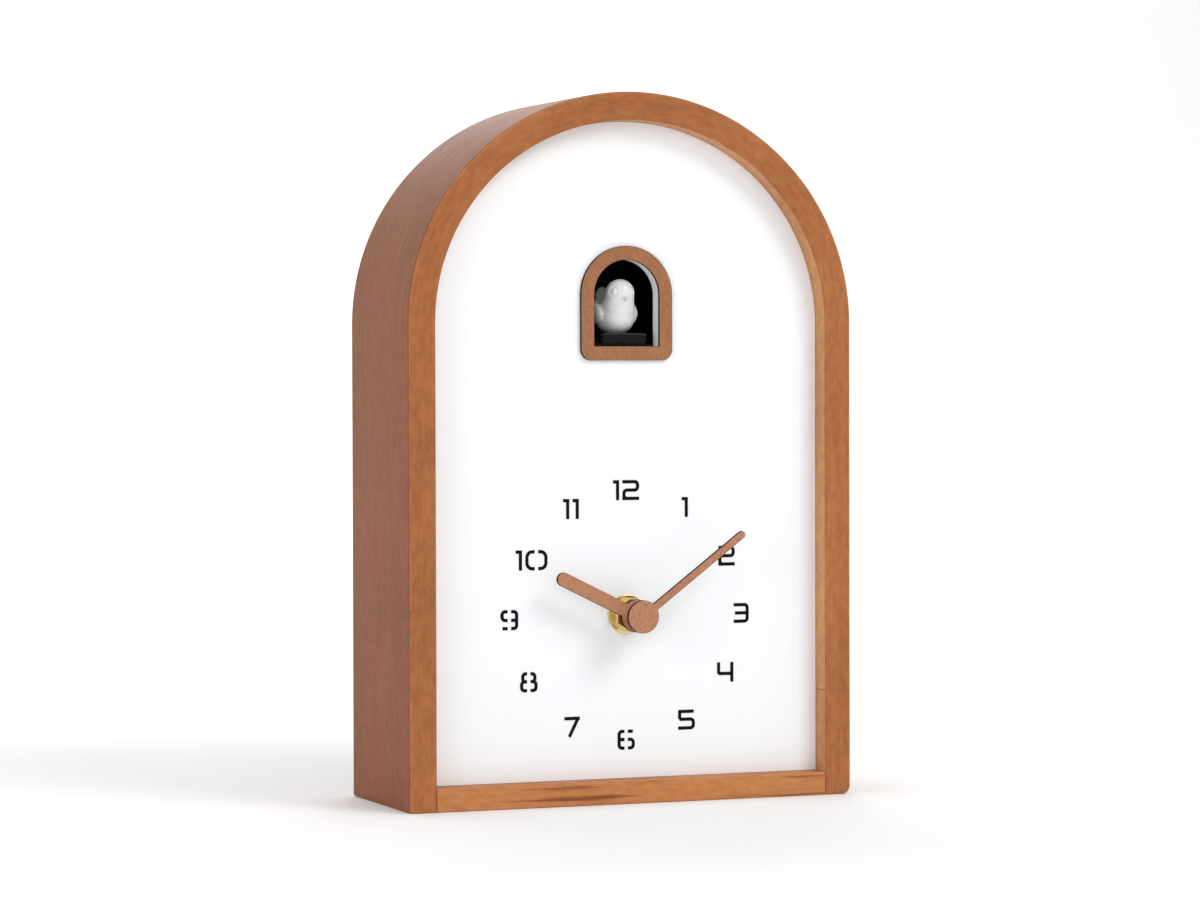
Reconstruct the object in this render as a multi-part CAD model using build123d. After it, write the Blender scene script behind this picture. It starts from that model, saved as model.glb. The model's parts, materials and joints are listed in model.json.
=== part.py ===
from build123d import *
from math import acos, atan2, cos, degrees, hypot, pi, radians, sin, tan
import os

# Round-headed cuckoo clock for a table or a wall: a bent-wood case with a white
# dial set back in it, a bird in a small window, a quartz movement and a
# battery bay.  Millimetres.  X is to the right as seen from the front, Y goes
# to the back, Z is up.  The origin is the middle of the case's bottom face.

# ---------------------------------------------------------------- case
WIDTH = 200.0
HEIGHT = 299.0
DEPTH = 75.0
SPRING = 202.0              # height where the straight sides end
WALL = 11.9                 # bent arch, and the width of the front rim
BOARD = 9.9                 # bottom board
SEAM = 0.05                 # glue line at each side of the bottom board
EDGE_ROUND = 0.8            # outer front and back edges
FOOT_LEFT = 1.2             # outer bottom corners, seen from the front
FOOT_RIGHT = 3.8
RECESS = 9.5                # rim front to dial front
DIAL_THICK = 6.5

FRONT = -DEPTH / 2
BACK = DEPTH / 2
OUTER_HALF = WIDTH / 2
INNER_HALF = OUTER_HALF - WALL
DIAL_Y = FRONT + RECESS
DIAL_BACK = DIAL_Y + DIAL_THICK

# ---------------------------------------------------------------- window
WINDOW_Z = 214.0            # centre of the round head
WINDOW_R = 14.8             # half width of the clear opening
WINDOW_SILL = 192.4
DIAL_HOLE_PLAY = 0.3        # dial hole, larger than the trim's opening
TRIM_WIDTH = 5.9
TRIM_THICK = 1.6
TRIM_CORNER = 4.6
TRIM_Y = DIAL_Y - TRIM_THICK
HOUSE_SCREWS = [(x, z) for x in (-21.5, 21.5) for z in (196.0, 222.0)]
HOUSE_SCREW_R = 1.1
HOUSE_SCREW_LONG = 4.2      # into the dial board

# ---------------------------------------------------------------- hands and numerals
HAND_Z = 79.2               # height of the hand axis
GLYPH_H = 8.45
GLYPH_STROKE = 1.4
GLYPH_BEND = 1.3            # radius of the middle line in a bend
GLYPH_WIDTHS = {
    "0": 9.9, "1": 2.8, "2": 7.6, "3": 6.95, "4": 7.55, "5": 7.7, "6": 7.85, "7": 6.9, "8": 7.8, "9": 7.85,
}
GLYPH_GAP = 0.8             # half the break in the middle of 0, 6, 8 and 9
ZERO_BEND = 2.4
FOUR_BEND = 0.7
DIGIT_SPACE = 1.5
INK = 0.15
NUMERALS = {                # middle of each hour's figures, across and up
    1: (26.9, 124.2), 2: (46.2, 103.1), 3: (53.0, 78.5), 4: (45.5, 53.4),
    5: (27.5, 33.7), 6: (-0.2, 26.2), 7: (-24.7, 32.5), 8: (-44.1, 51.9),
    9: (-52.7, 78.1), 10: (-42.7, 102.9), 11: (-25.0, 124.1), 12: (0.0, 131.7),
}
HAND_THICK = 1.5
MINUTE_Y = DIAL_Y - 19.5    # front face of the minute hand
MINUTE_LENGTH = 57.6
MINUTE_WIDTH = 3.2
MINUTE_DISC_R = 6.9
MINUTE_ANGLE = 53.2         # clockwise from 12
HOUR_Y = DIAL_Y - 12.0
HOUR_LENGTH = 39.4
HOUR_WIDTH = 5.8
HOUR_DISC_R = 6.9
HOUR_ANGLE = 296.0

# ---------------------------------------------------------------- hand shafts
RUN = 0.06                  # radial clearance of a running fit
ARBOR_R = 1.5               # minute arbor
HOUR_PIPE_R = 2.5
BUSH_R = 3.95
BUSH_FRONT = DIAL_Y - 6.2
DIAL_BORE_R = 4.1
WASHER_R = 8.4
WASHER_THICK = 1.0
NUT_FLATS = 12.6
NUT_THICK = 4.5
ARBOR_TAIL_R = 0.8          # rear end of the minute arbor
STEM_R = 1.2                # setting stem
STEM_GRIP = 3.0             # stem and knob end this far in front of the back cover
MINUTE_COLLET = (2.6, 2.0)  # radius and length behind the hand
HOUR_COLLET = (4.0, 2.5)
BUSH_FLANGE_R = 5.5
RUBBER_R = 9.0

# ---------------------------------------------------------------- movement
MOVE_HALF = 28.0            # half the side of the square case
MOVE_FRONT = DIAL_BACK + 1.0
MOVE_DEPTH = 14.5
MOVE_WALL = 1.5
COVER_THICK = 2.0
MOVE_BACK = MOVE_FRONT + MOVE_DEPTH
TRAIN_PLATE_Y = MOVE_BACK - 1.2
PIVOT_R = 0.4
PIVOT_PLAY = 0.05
STUD_R = 0.6

# Layers of the train, each [front, back], from the dial side backwards.
HOUR_LAYER = (-17.9, -16.9)
MOTION_LAYER = (-16.5, -15.3)
FIFTH_LAYER = (-14.9, -14.1)
CENTRE_LAYER = (-13.5, -12.5)
THIRD_LAYER = (-11.0, -10.0)
SECONDS_LAYER = (-8.9, -8.1)
STATOR_LAYER = (-11.6, -10.2)
ROTOR_LAYER = (-12.2, -9.6)
MAGNET_R = 3.0
STATOR_HOLE_R = 3.4
STATOR_HALF = 4.5
CORE_LOW, CORE_HIGH = HAND_Z + 20.6, HAND_Z + 23.4
COIL_R = 3.2
CIRCUIT = ((-25.5, -12.0), (-9.6, -8.6), (HAND_Z - 25.5, HAND_Z - 8.0))
CLOCK_CHIP = ((-21.5, -16.0), (-8.6, -7.6), (HAND_Z - 20.0, HAND_Z - 14.5))

# Tooth counts and modules.  The rotor turns 30 times for one turn of the
# seconds wheel, and the centre wheel once in 60 turns of the seconds wheel.
CANNON_TEETH, MOTION_TEETH, MOTION_MODULE = 12, 36, 0.4
PINION_TEETH, HOUR_TEETH, HOUR_MODULE = 10, 40, 0.384
SETTING_TEETH = 14
CENTRE_TEETH, CENTRE_MODULE = 60, 0.3
THIRD_TEETH = 64
SECONDS_TEETH = 48
FIFTH_TEETH = 40
LEAF_TEETH, TRAIN_MODULE = 8, 0.25
PRESSURE = radians(20)
ADDENDUM = 0.75             # of the module
DEDENDUM = 1.15
PLAY = 0.22                 # tooth thinning, of the module

# Directions from one arbor to the next, degrees, in the front view.
TO_MOTION, TO_SETTING = 150.0, 60.0
TO_THIRD, TO_SECONDS, TO_FIFTH, TO_ROTOR = -60.0, 30.0, 80.0, 20.0

# ---------------------------------------------------------------- bird and its drive
HOUSE_HALF = 16.4           # inside half width
HOUSE_WALL = 1.6
HOUSE_FLOOR = 193.5         # top of the floor
HOUSE_BACK = 20.4
HOUSE_FLANGE = (52.0, 45.0, 1.6)        # width, height and thickness
HOUSE_FLANGE_Z = 212.5
RAIL_PLAY = 0.2
RAIL_WIDTH = 1.4
RAIL_HIGH = 3.2
SLED_HALF = 9.6
SLED_FRONT = -26.5
SLED_BACK = 14.0
SLED_BOTTOM = HOUSE_FLOOR + 0.2
SLED_TOP = 198.0
TRAVEL = 12.0               # the bird comes forward this far
HEAD_R = 6.2
HEAD_AT = (0, -21.4, 214.7)
BIRD_SHAPES = [             # radii, middle and tilt of body, neck and tail
    ((8.3, 10.3, 8.4), (0, -15.6, 205.4), 0),
    ((6.7, 6.6, 7.6), (0, -19.2, 210.2), 0),
    ((4.5, 2.1, 9.2), (0, -4.6, 210.8), -32),
]
WING_RADII = (2.6, 8.2, 4.8)
WING_AT, WING_TILT = (7.6, -13.0, 206.8), 14
BEAK_AT = (0, -28.1, 212.6)
BEAK_ROOT_R, BEAK_TIP_R, BEAK_LONG = 1.6, 0.25, 3.4
BIRD_ROOM = ((-14, 14), (-32, 12), (SLED_TOP, 230))
PIN_LONG = 0.8              # small guide pins at both ends of the sled
PIN_Y = -25.4
PIN_HEIGHTS = (195.4, 197.0)
RACK_MODULE = 0.8
RACK_TEETH = 12             # teeth of the pinion
RACK_HALF = 2.6
RACK_FRONT = -6.4
PITCH_LINE = 191.2
DRIVE_TEETH, MOTOR_TEETH, DRIVE_MODULE = 18, 10, 0.5
DRIVE_Y = -4.0
DRIVE_Z = PITCH_LINE - RACK_MODULE * RACK_TEETH / 2
MOTOR_Z = DRIVE_Z - DRIVE_MODULE * (DRIVE_TEETH + MOTOR_TEETH) / 2
SHAFT_R = 1.0
MOTOR_R = 7.5
MOTOR_LENGTH = 14.6
MOTOR_SHAFT_R = 0.8
MOTOR_FACE = 10.4           # left face of the motor, right face of its plate
PLATE_LEFT, PLATE_RIGHT = (-6.8, -5.4), (9.0, MOTOR_FACE)
PLATE_Y = (-11.0, 6.0)
CROSS_PLATE = 1.2
DRIVE_X, MOTOR_GEAR_X = (5.6, 7.4), (5.4, 7.8)
SHAFT_X = (-7.2, 10.3)

# ---------------------------------------------------------------- back
COVER_Y = 33.5              # front face of the back cover
BACK_THICK = 2.5
COVER_BACK = COVER_Y + BACK_THICK
COVER_PLAY = 0.3
BLOCK_FRONT = 16.0
SCREW_R = 1.4
SCREW_HEAD_R = 3.0
SCREW_HEAD_THICK = 1.2
SCREW_LONG = 12.0
BLOCK_SIDE = 16.0
SCREW_SPOTS = [(x, z) for x in (-80.0, 80.0) for z in (20.0, 108.0, 192.0)] + [(0.0, 278.0)]
KNOB_R = 9.0
KNOB_TEETH = 36
KEYHOLE_Z = 252.0
KEYHOLE_R = 4.5
KEYHOLE_SLOT = 2.2
KEYHOLE_RISE = 10.0
HANGER = (34.0, 28.0, 1.0)  # width, height and thickness of the plate
HANGER_Z = KEYHOLE_Z + 4.0
RIVET_X = 13.0
RIVET_R = 1.8
RIVET_HIGH = 0.35
SPEAKER_AT = (-50.0, 190.0)
SPEAKER_R = 20.0
BASKET_R = 12.0
BASKET_DEEP = 7.0
MAGNET_BLOCK_R = 9.0
MAGNET_BLOCK_DEEP = 12.0
GRILLE = ((6, 6.0), (12, 12.0))         # holes and radius of each ring
GRILLE_R = 1.5
SENSOR_AT = (50.0, 190.0)
SENSOR_R = 2.5
SENSOR_FLANGE_R = 3.4
BAY_HALF = 30.5
BAY_LOW, BAY_HIGH = 15.0, 65.0
BAY_FRONT = 14.5
BAY_WALL = 1.4
CELL_R = 7.2
CELL_LENGTH = 50.5
CELL_PITCH = 15.6
CELL_PLAY = 0.3
NUB_R, NUB_LONG = 2.6, 1.0
CONTACT_THICK = 0.4
CONTACT_HALF = 6.0
RIB_DEEP, RIB_HALF = 4.0, 0.4
BAY_LEDGE = 1.0             # the cover's opening is this much inside the bay
DOOR_GAP = 0.35
NOTCH_HALF, NOTCH_HIGH = 9.0, 7.0
BOARD_Y = 26.0              # front face of the control board
BOARD_THICK = 1.6
CONTROL_X = -48.0
SWITCH_AT = (CONTROL_X, 132.0)
VOLUME_AT = (CONTROL_X, 112.0)
BUTTON_AT = (CONTROL_X, 92.0)
CONTROL_BOARD = (44.0, 66.0)
CHIPS = [((-12, 0), (96, 108)), ((-12, -4), (118, 128)), ((6, 14), (88, 98))]
CHIP_HIGH = 1.5
CAPACITORS = [(CONTROL_X + x, 122.0) for x in (6.0, 13.5)]
CAPACITOR_R, CAPACITOR_HIGH = 3.0, 9.0
SWITCH_BODY = (6.5, 3.0, 2.6)           # half width, half height and depth
LEVER_FOOT = (3.5, 2.6, 1.2)
LEVER = (2.0, 1.6)
VOLUME_R = 6.0
VOLUME_BODY_R, VOLUME_BODY_DEEP = 5.5, 2.4
VOLUME_SHAFT_R = 1.5
POINTER_HALF = 0.5
BUTTON_R, BUTTON_FLANGE_R = 3.0, 4.6
BUTTON_BODY = (3.0, 1.9)                # half side and depth
BUTTON_FREE = 3.7           # flange of the button above the board
POST_R = 2.5
LEAD_R = 0.7
LEAD_Y = BOARD_Y - 3.0
LEAD_ROUTES = {
    "battery_leads": [
        [(-32, 22, 30), (-32, 22, 50), (-42, 22, 66), (-42, LEAD_Y, 82)],
        [(-32, 19, 26), (-32, 19, 52), (-45, 19, 70), (-45, LEAD_Y, 84)],
    ],
    "motor_leads": [
        [(26.9, -4, 177), (34, -4, 168), (20, 8, 154), (-20, 16, 142), (-40, LEAD_Y, 134)],
        [(26.9, -6, 181), (38, -6, 170), (22, 6, 151), (-20, 14, 138), (-40, LEAD_Y - 1, 130)],
    ],
    "speaker_leads": [
        [(-54, 20, 172), (-54, 17, 158), (-57, 19, 148), (-57, LEAD_Y, 140)],
        [(-46, 20, 172), (-46, 17, 158), (-50, 19, 148), (-50, LEAD_Y, 138)],
    ],
    "movement_leads": [
        [(-22, -2, 60), (-22, 6, 66), (-37, 13, 73), (-46, LEAD_Y - 1, 86)],
        [(-18, -2, 57), (-18, 8, 63), (-35, 15, 72), (-43, LEAD_Y - 1, 84)],
    ],
}


# ---------------------------------------------------------------- helpers
def slab(outline, front, back):
    """Solid of a front-view outline between two depths."""
    return extrude(Plane.XZ.offset(-back) * outline, back - front)


def disc(radius, at, front, back):
    """Round slab centred on a front-view point."""
    return slab(Pos(*at) * Circle(radius), front, back)


def block(x, y, z):
    """Box between the low and high values given for each axis."""
    middle = [(low + high) / 2 for low, high in (x, y, z)]
    return Pos(*middle) * Box(x[1] - x[0], y[1] - y[0], z[1] - z[0])


def rod(radius, x, at):
    """Round bar along X between two values, through the depth and height given."""
    bar = Cylinder(radius, x[1] - x[0], align=(Align.CENTER, Align.CENTER, Align.MIN))
    return Pos(x[0], *at) * Rot(0, 90, 0) * bar


def group(pieces):
    """Identical pieces that share one node."""
    return Compound(children=list(pieces))


def arch(half, low, spring, rise=0.0):
    """Outline with straight sides and a round head, or an oval one where a rise is given."""
    sides = Polyline((-half, spring), (-half, low), (half, low), (half, spring))
    if rise:
        head = EllipticalCenterArc((0, spring), half, rise, 0, arc_size=180)
    else:
        head = ThreePointArc((half, spring), (0, spring + half), (-half, spring))
    return make_face(sides + head)


def case_outline(inset, low):
    """Arch of the case, moved inwards from the outside by the inset."""
    return arch(OUTER_HALF - inset, low, SPRING, HEIGHT - SPRING - inset)


def away(start, distance, direction):
    """Front-view point at a distance and direction, degrees, from another one."""
    angle = radians(direction)
    return (start[0] + distance * cos(angle), start[1] + distance * sin(angle))


# ---------------------------------------------------------------- gears
def involute(radius, base):
    """Involute function of the pressure angle at a radius, and nought inside the base circle."""
    angle = acos(min(1.0, base / radius))
    return tan(angle) - angle


def gear(teeth, module, phase=0.0, play=PLAY):
    """Spur gear outline with one tooth centred on the phase angle."""
    pitch = module * teeth / 2
    base = pitch * cos(PRESSURE)
    root = pitch - DEDENDUM * module
    tip = pitch + ADDENDUM * module
    half = (pi / 2 - play) / teeth + involute(pitch, base)
    start = max(root, base)
    radii = sorted({root, start, (start + pitch) / 2, pitch, tip})
    flank = [(r, half - involute(r, base)) for r in radii]
    points = []
    for tooth in range(teeth):
        middle = radians(phase) + 2 * pi * tooth / teeth
        for r, width in flank:
            points.append((r * cos(middle - width), r * sin(middle - width)))
        for r, width in reversed(flank):
            points.append((r * cos(middle + width), r * sin(middle + width)))
    return make_face(Polyline(*points, close=True))


def mesh_phase(teeth, phase, mate_teeth, direction):
    """Phase of a mating gear that lies in the given direction from a gear."""
    shift = (phase - direction) * teeth / mate_teeth
    return direction + 180 + 180 / mate_teeth - shift


def wheel(teeth, module, phase, at, layer):
    """Gear in one layer of the movement."""
    return slab(Pos(*at) * gear(teeth, module, phase), *layer)


HAND_AT = (0.0, HAND_Z)
MOTION_AT = away(HAND_AT, MOTION_MODULE * (CANNON_TEETH + MOTION_TEETH) / 2, TO_MOTION)
SETTING_AT = away(MOTION_AT, MOTION_MODULE * (MOTION_TEETH + SETTING_TEETH) / 2, TO_SETTING)
THIRD_AT = away(HAND_AT, CENTRE_MODULE * (CENTRE_TEETH + LEAF_TEETH) / 2, TO_THIRD)
SECONDS_AT = away(THIRD_AT, TRAIN_MODULE * (THIRD_TEETH + LEAF_TEETH) / 2, TO_SECONDS)
FIFTH_AT = away(SECONDS_AT, TRAIN_MODULE * (SECONDS_TEETH + LEAF_TEETH) / 2, TO_FIFTH)
ROTOR_AT = away(FIFTH_AT, TRAIN_MODULE * (FIFTH_TEETH + LEAF_TEETH) / 2, TO_ROTOR)
PIVOTED = (THIRD_AT, SECONDS_AT, FIFTH_AT, ROTOR_AT)


# ---------------------------------------------------------------- case
def case_arch():
    """Bent arch with two legs, open at the bottom, rounded outside."""
    outline = case_outline(0, 0)
    for side, radius in ((-1, FOOT_LEFT), (1, FOOT_RIGHT)):
        corners = outline.vertices().filter_by(lambda v: v.Y < 1 and v.X * side > 0)
        outline = fillet(corners.sort_by(Axis.Y)[0], radius)
    body = slab(outline - case_outline(WALL, -1), FRONT, BACK)
    middle = (OUTER_HALF + INNER_HALF) / 2

    def is_outer(edge):
        spot = edge @ 0.5
        return hypot(spot.X, max(spot.Z - SPRING, 0)) > middle or spot.Z < 1

    for depth in (FRONT, BACK):
        rim = body.edges().filter_by_position(Axis.Y, depth - 0.01, depth + 0.01)
        body = fillet(rim.filter_by(is_outer), EDGE_ROUND)
    return body


def bottom_board():
    """Board glued between the two legs."""
    half = INNER_HALF - SEAM
    body = block((-half, half), (FRONT, BACK), (0, BOARD))
    low = body.edges().filter_by(Axis.X).filter_by_position(Axis.Z, -0.01, 0.01)
    return fillet(low, EDGE_ROUND)


def dial_panel():
    """White dial board with the window and the hole for the hand bush."""
    outline = case_outline(WALL + SEAM, BOARD + SEAM)
    outline -= arch(WINDOW_R + DIAL_HOLE_PLAY, WINDOW_SILL - DIAL_HOLE_PLAY, WINDOW_Z)
    outline -= Pos(*HAND_AT) * Circle(DIAL_BORE_R)
    body = slab(outline, DIAL_Y, DIAL_BACK)
    for spot in HOUSE_SCREWS:
        body -= disc(HOUSE_SCREW_R + 0.05, spot, DIAL_BACK - HOUSE_SCREW_LONG - 0.3, DIAL_BACK)
    return body


def window_trim():
    """Thin wooden frame glued round the window."""
    half = WINDOW_R + TRIM_WIDTH
    outline = arch(half, WINDOW_SILL - TRIM_WIDTH, WINDOW_Z)
    corners = outline.vertices().filter_by(lambda v: v.Y < WINDOW_SILL)
    outline = fillet(corners, TRIM_CORNER) - arch(WINDOW_R, WINDOW_SILL, WINDOW_Z)
    return slab(outline, TRIM_Y, DIAL_Y)


# ---------------------------------------------------------------- numerals
def stroke(*points, radius=0.0):
    """Stroke of even width along a path, with rounded bends where a radius is given."""
    if radius:
        return trace(FilletPolyline(*points, radius=radius), GLYPH_STROKE)
    bars = Sketch()
    for (x0, y0), (x1, y1) in zip(points, points[1:]):
        length = hypot(x1 - x0, y1 - y0) + (GLYPH_STROKE if len(points) > 2 else 0)
        bar = Rectangle(length, GLYPH_STROKE)
        turn = degrees(atan2(y1 - y0, x1 - x0))
        bars += Pos((x0 + x1) / 2, (y0 + y1) / 2) * Rot(0, 0, turn) * bar
    return bars


def digit(figure):
    """One figure, its box centred on the origin, and its width."""
    top = (GLYPH_H - GLYPH_STROKE) / 2
    edge = top + GLYPH_STROKE / 2
    w = GLYPH_WIDTHS[figure]
    x, gap, bend = (w - GLYPH_STROKE) / 2, GLYPH_GAP, GLYPH_BEND
    if figure == "0":
        halves = Sketch()
        for side in (-1, 1):
            path = [(side * gap, top), (side * x, top), (side * x, -top), (side * gap, -top)]
            halves += stroke(*path, radius=ZERO_BEND)
        return halves, w
    if figure == "1":
        flag = Pos(-GLYPH_STROKE / 2, top) * Rectangle(w - GLYPH_STROKE, GLYPH_STROKE)
        return stroke((x, -edge), (x, edge)) + flag, w
    if figure == "2":
        path = [(-w / 2, top), (x, top), (x, 0), (-x, 0), (-x, -top), (0, -top)]
        foot = stroke((-w / 2, -top), (w / 2, -top))
        return stroke(*path, radius=bend) + foot + stroke((-x, -edge), (-x, -1)), w
    if figure == "3":
        bowl = stroke((-w / 2, top), (x, top), (x, -top), (-w / 2, -top), radius=bend)
        return bowl + stroke((-w / 2 + 0.6, 0), (x, 0)), w
    if figure == "4":
        arm = stroke((-x, edge), (-x, -0.6), (x, -0.6), radius=FOUR_BEND)
        return arm + stroke((x, edge), (x, -edge)), w
    if figure == "5":
        bowl = stroke((-x, 0.2), (x, 0.2), (x, -top), (-w / 2, -top), radius=bend)
        head = stroke((-x, 0.2), (-x, top))
        return bowl + stroke((-w / 2, top), (w / 2 - 0.5, top)) + head, w
    if figure == "7":
        leg = stroke((x - 0.1, top), (-GLYPH_BEND, -edge))
        return stroke((-w / 2, top), (w / 2, top)) + leg, w
    if figure == "8":
        loops = Sketch()
        for side in (-1, 1):
            for reach, end in ((x - 0.5, top), (x, -top)):
                path = [(side * gap, 0.2), (side * reach, 0.2), (side * reach, end), (side * gap, end)]
                loops += stroke(*path, radius=bend)
        return loops, w
    back = stroke((-gap, top), (-x, top), (-x, -top), (-gap, -top), radius=bend)
    back += stroke((-x, 0.1), (-gap, 0.1))
    bowl = stroke((gap, 0.1), (x, 0.1), (x, -top), (gap, -top), radius=bend)
    six = back + bowl + stroke((gap, top), (w / 2 - 0.9, top))
    return (Rot(0, 0, 180) * six if figure == "9" else six), w


def dial_numerals():
    """Hour figures, upright, round the hand axis."""
    pieces = []
    for hour, (across, up) in NUMERALS.items():
        digits = [digit(figure) for figure in str(hour)]
        space = DIGIT_SPACE * (len(digits) - 1)
        x = across - (sum(w for outline, w in digits) + space) / 2
        for outline, w in digits:
            for face in (Pos(x + w / 2, up) * outline).faces():
                pieces += slab(Sketch() + face, DIAL_Y - INK, DIAL_Y).solids()
            x += w + DIGIT_SPACE
    return group(pieces)


# ---------------------------------------------------------------- hands and hand shafts
def hand(length, width, disc_r, angle, front, bore):
    """Round-ended hand with a disc at the axis; a bore of nought leaves the front whole."""
    bar = Pos(0, (length - width / 2) / 2) * Rectangle(width, length - width / 2)
    tip = Pos(0, length - width / 2) * Circle(width / 2)
    outline = Circle(disc_r) + bar + tip
    if bore:
        outline -= Circle(bore)
    return slab(Pos(*HAND_AT) * Rot(0, 0, -angle) * outline, front, front + HAND_THICK)


def minute_hand():
    return hand(MINUTE_LENGTH, MINUTE_WIDTH, MINUTE_DISC_R, MINUTE_ANGLE, MINUTE_Y, 0)


def hour_hand():
    return hand(HOUR_LENGTH, HOUR_WIDTH, HOUR_DISC_R, HOUR_ANGLE, HOUR_Y, HOUR_PIPE_R)


def collet(radius, bore, front, back):
    """Ring round the hand axis."""
    return disc(radius, HAND_AT, front, back) - disc(bore, HAND_AT, front, back)


def hand_collet(size, bore, front):
    """Brass collar behind a hand."""
    radius, length = size
    return collet(radius, bore, front, front + length)


def minute_arbor():
    """Minute shaft with the cannon pinion cut on it."""
    shaft = disc(ARBOR_R, HAND_AT, MINUTE_Y + HAND_THICK, CENTRE_LAYER[1] + 0.4)
    tail = disc(ARBOR_TAIL_R, HAND_AT, CENTRE_LAYER[1], TRAIN_PLATE_Y + 1.0)
    return shaft + tail + wheel(CANNON_TEETH, MOTION_MODULE, TO_MOTION, HAND_AT, MOTION_LAYER)


def motion_phases():
    """Phases of the motion wheel, its pinion and the setting gear."""
    wheel_phase = mesh_phase(CANNON_TEETH, TO_MOTION, MOTION_TEETH, TO_MOTION)
    setting = mesh_phase(MOTION_TEETH, wheel_phase, SETTING_TEETH, TO_SETTING)
    return wheel_phase, setting


def hour_wheel():
    """Hour pipe with its toothed wheel."""
    phase = TO_MOTION
    body = disc(HOUR_PIPE_R, HAND_AT, HOUR_Y - 0.5, HOUR_LAYER[1])
    body += wheel(HOUR_TEETH, HOUR_MODULE, phase, HAND_AT, HOUR_LAYER)
    return body - disc(ARBOR_R + RUN, HAND_AT, HOUR_Y - 1, HOUR_LAYER[1] + 1)


def motion_wheel():
    """Wheel and pinion on one stud, between the cannon pinion and the hour wheel."""
    pinion = mesh_phase(HOUR_TEETH, TO_MOTION, PINION_TEETH, TO_MOTION)
    body = wheel(MOTION_TEETH, MOTION_MODULE, motion_phases()[0], MOTION_AT, MOTION_LAYER)
    layer = (HOUR_LAYER[0], MOTION_LAYER[0])
    body += wheel(PINION_TEETH, HOUR_MODULE, pinion, MOTION_AT, layer)
    return body - disc(STUD_R + PIVOT_PLAY, MOTION_AT, HOUR_LAYER[0] - 1, MOTION_LAYER[1] + 1)


def setting_stem():
    """Long stem from the motion wheel to the knob at the back."""
    gear_part = wheel(SETTING_TEETH, MOTION_MODULE, motion_phases()[1], SETTING_AT, MOTION_LAYER)
    return gear_part + disc(STEM_R, SETTING_AT, MOTION_LAYER[0], COVER_Y - STEM_GRIP)


def setting_knob():
    """Knurled knob, sunk in a hole of the back cover."""
    front, back = COVER_Y - STEM_GRIP - 0.5, COVER_BACK + 1.0
    knurl = gear(KNOB_TEETH, 2 * KNOB_R / (KNOB_TEETH + 2 * ADDENDUM))
    grip = slab(Pos(*SETTING_AT) * knurl, front, back) & disc(KNOB_R - 0.1, SETTING_AT, front, back)
    return grip - disc(STEM_R, SETTING_AT, front - 0.5, COVER_Y - STEM_GRIP)


def threaded_bush():
    """Bush that clamps the movement to the dial."""
    body = disc(BUSH_R, HAND_AT, BUSH_FRONT, MOVE_FRONT + MOVE_WALL)
    body += disc(BUSH_FLANGE_R, HAND_AT, MOVE_FRONT + MOVE_WALL, HOUR_LAYER[0] - 0.3)
    return body - disc(HOUR_PIPE_R + RUN, HAND_AT, BUSH_FRONT - 1, HOUR_LAYER[0])


def dial_washer():
    return collet(WASHER_R, DIAL_BORE_R, DIAL_Y - WASHER_THICK, DIAL_Y)


def hand_nut():
    """Six-sided brass nut on the bush."""
    back = DIAL_Y - WASHER_THICK
    flats = RegularPolygon(NUT_FLATS / 2, 6, major_radius=False, rotation=30)
    body = slab(Pos(*HAND_AT) * flats, back - NUT_THICK, back)
    return body - disc(BUSH_R, HAND_AT, back - NUT_THICK - 1, back + 1)


def rubber_washer():
    return collet(RUBBER_R, DIAL_BORE_R, DIAL_BACK, MOVE_FRONT)


# ---------------------------------------------------------------- movement
def movement_square(half):
    return Pos(*HAND_AT) * Rectangle(2 * half, 2 * half)


def movement_case():
    """Open-backed box that carries the train and the stud of the motion wheel."""
    outline = fillet(movement_square(MOVE_HALF).vertices(), 3)
    body = slab(outline, MOVE_FRONT, MOVE_BACK)
    floor = MOVE_FRONT + MOVE_WALL
    body -= slab(movement_square(MOVE_HALF - MOVE_WALL), floor, MOVE_BACK)
    body -= disc(BUSH_R, HAND_AT, MOVE_FRONT, floor)
    for spot in PIVOTED:
        body -= disc(PIVOT_R + PIVOT_PLAY, spot, floor - 0.9, floor)
    return body + disc(STUD_R, MOTION_AT, floor, MOTION_LAYER[1] + 0.2)


def movement_cover():
    outline = fillet(movement_square(MOVE_HALF).vertices(), 3)
    body = slab(outline, MOVE_BACK, MOVE_BACK + COVER_THICK)
    return body - disc(STEM_R + RUN, SETTING_AT, MOVE_BACK, MOVE_BACK + COVER_THICK)


def train_plate():
    """Rear bearing plate of the train."""
    body = slab(movement_square(MOVE_HALF - MOVE_WALL), TRAIN_PLATE_Y, MOVE_BACK)
    for spot in PIVOTED:
        body -= disc(PIVOT_R + PIVOT_PLAY, spot, TRAIN_PLATE_Y, MOVE_BACK)
    body -= disc(ARBOR_TAIL_R + RUN, HAND_AT, TRAIN_PLATE_Y, MOVE_BACK)
    return body - disc(STEM_R + RUN, SETTING_AT, TRAIN_PLATE_Y, MOVE_BACK)


def pivot(at):
    """Arbor between the movement's front wall and the rear plate."""
    return disc(PIVOT_R, at, MOVE_FRONT + MOVE_WALL - 0.7, MOVE_BACK - 0.2)


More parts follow.
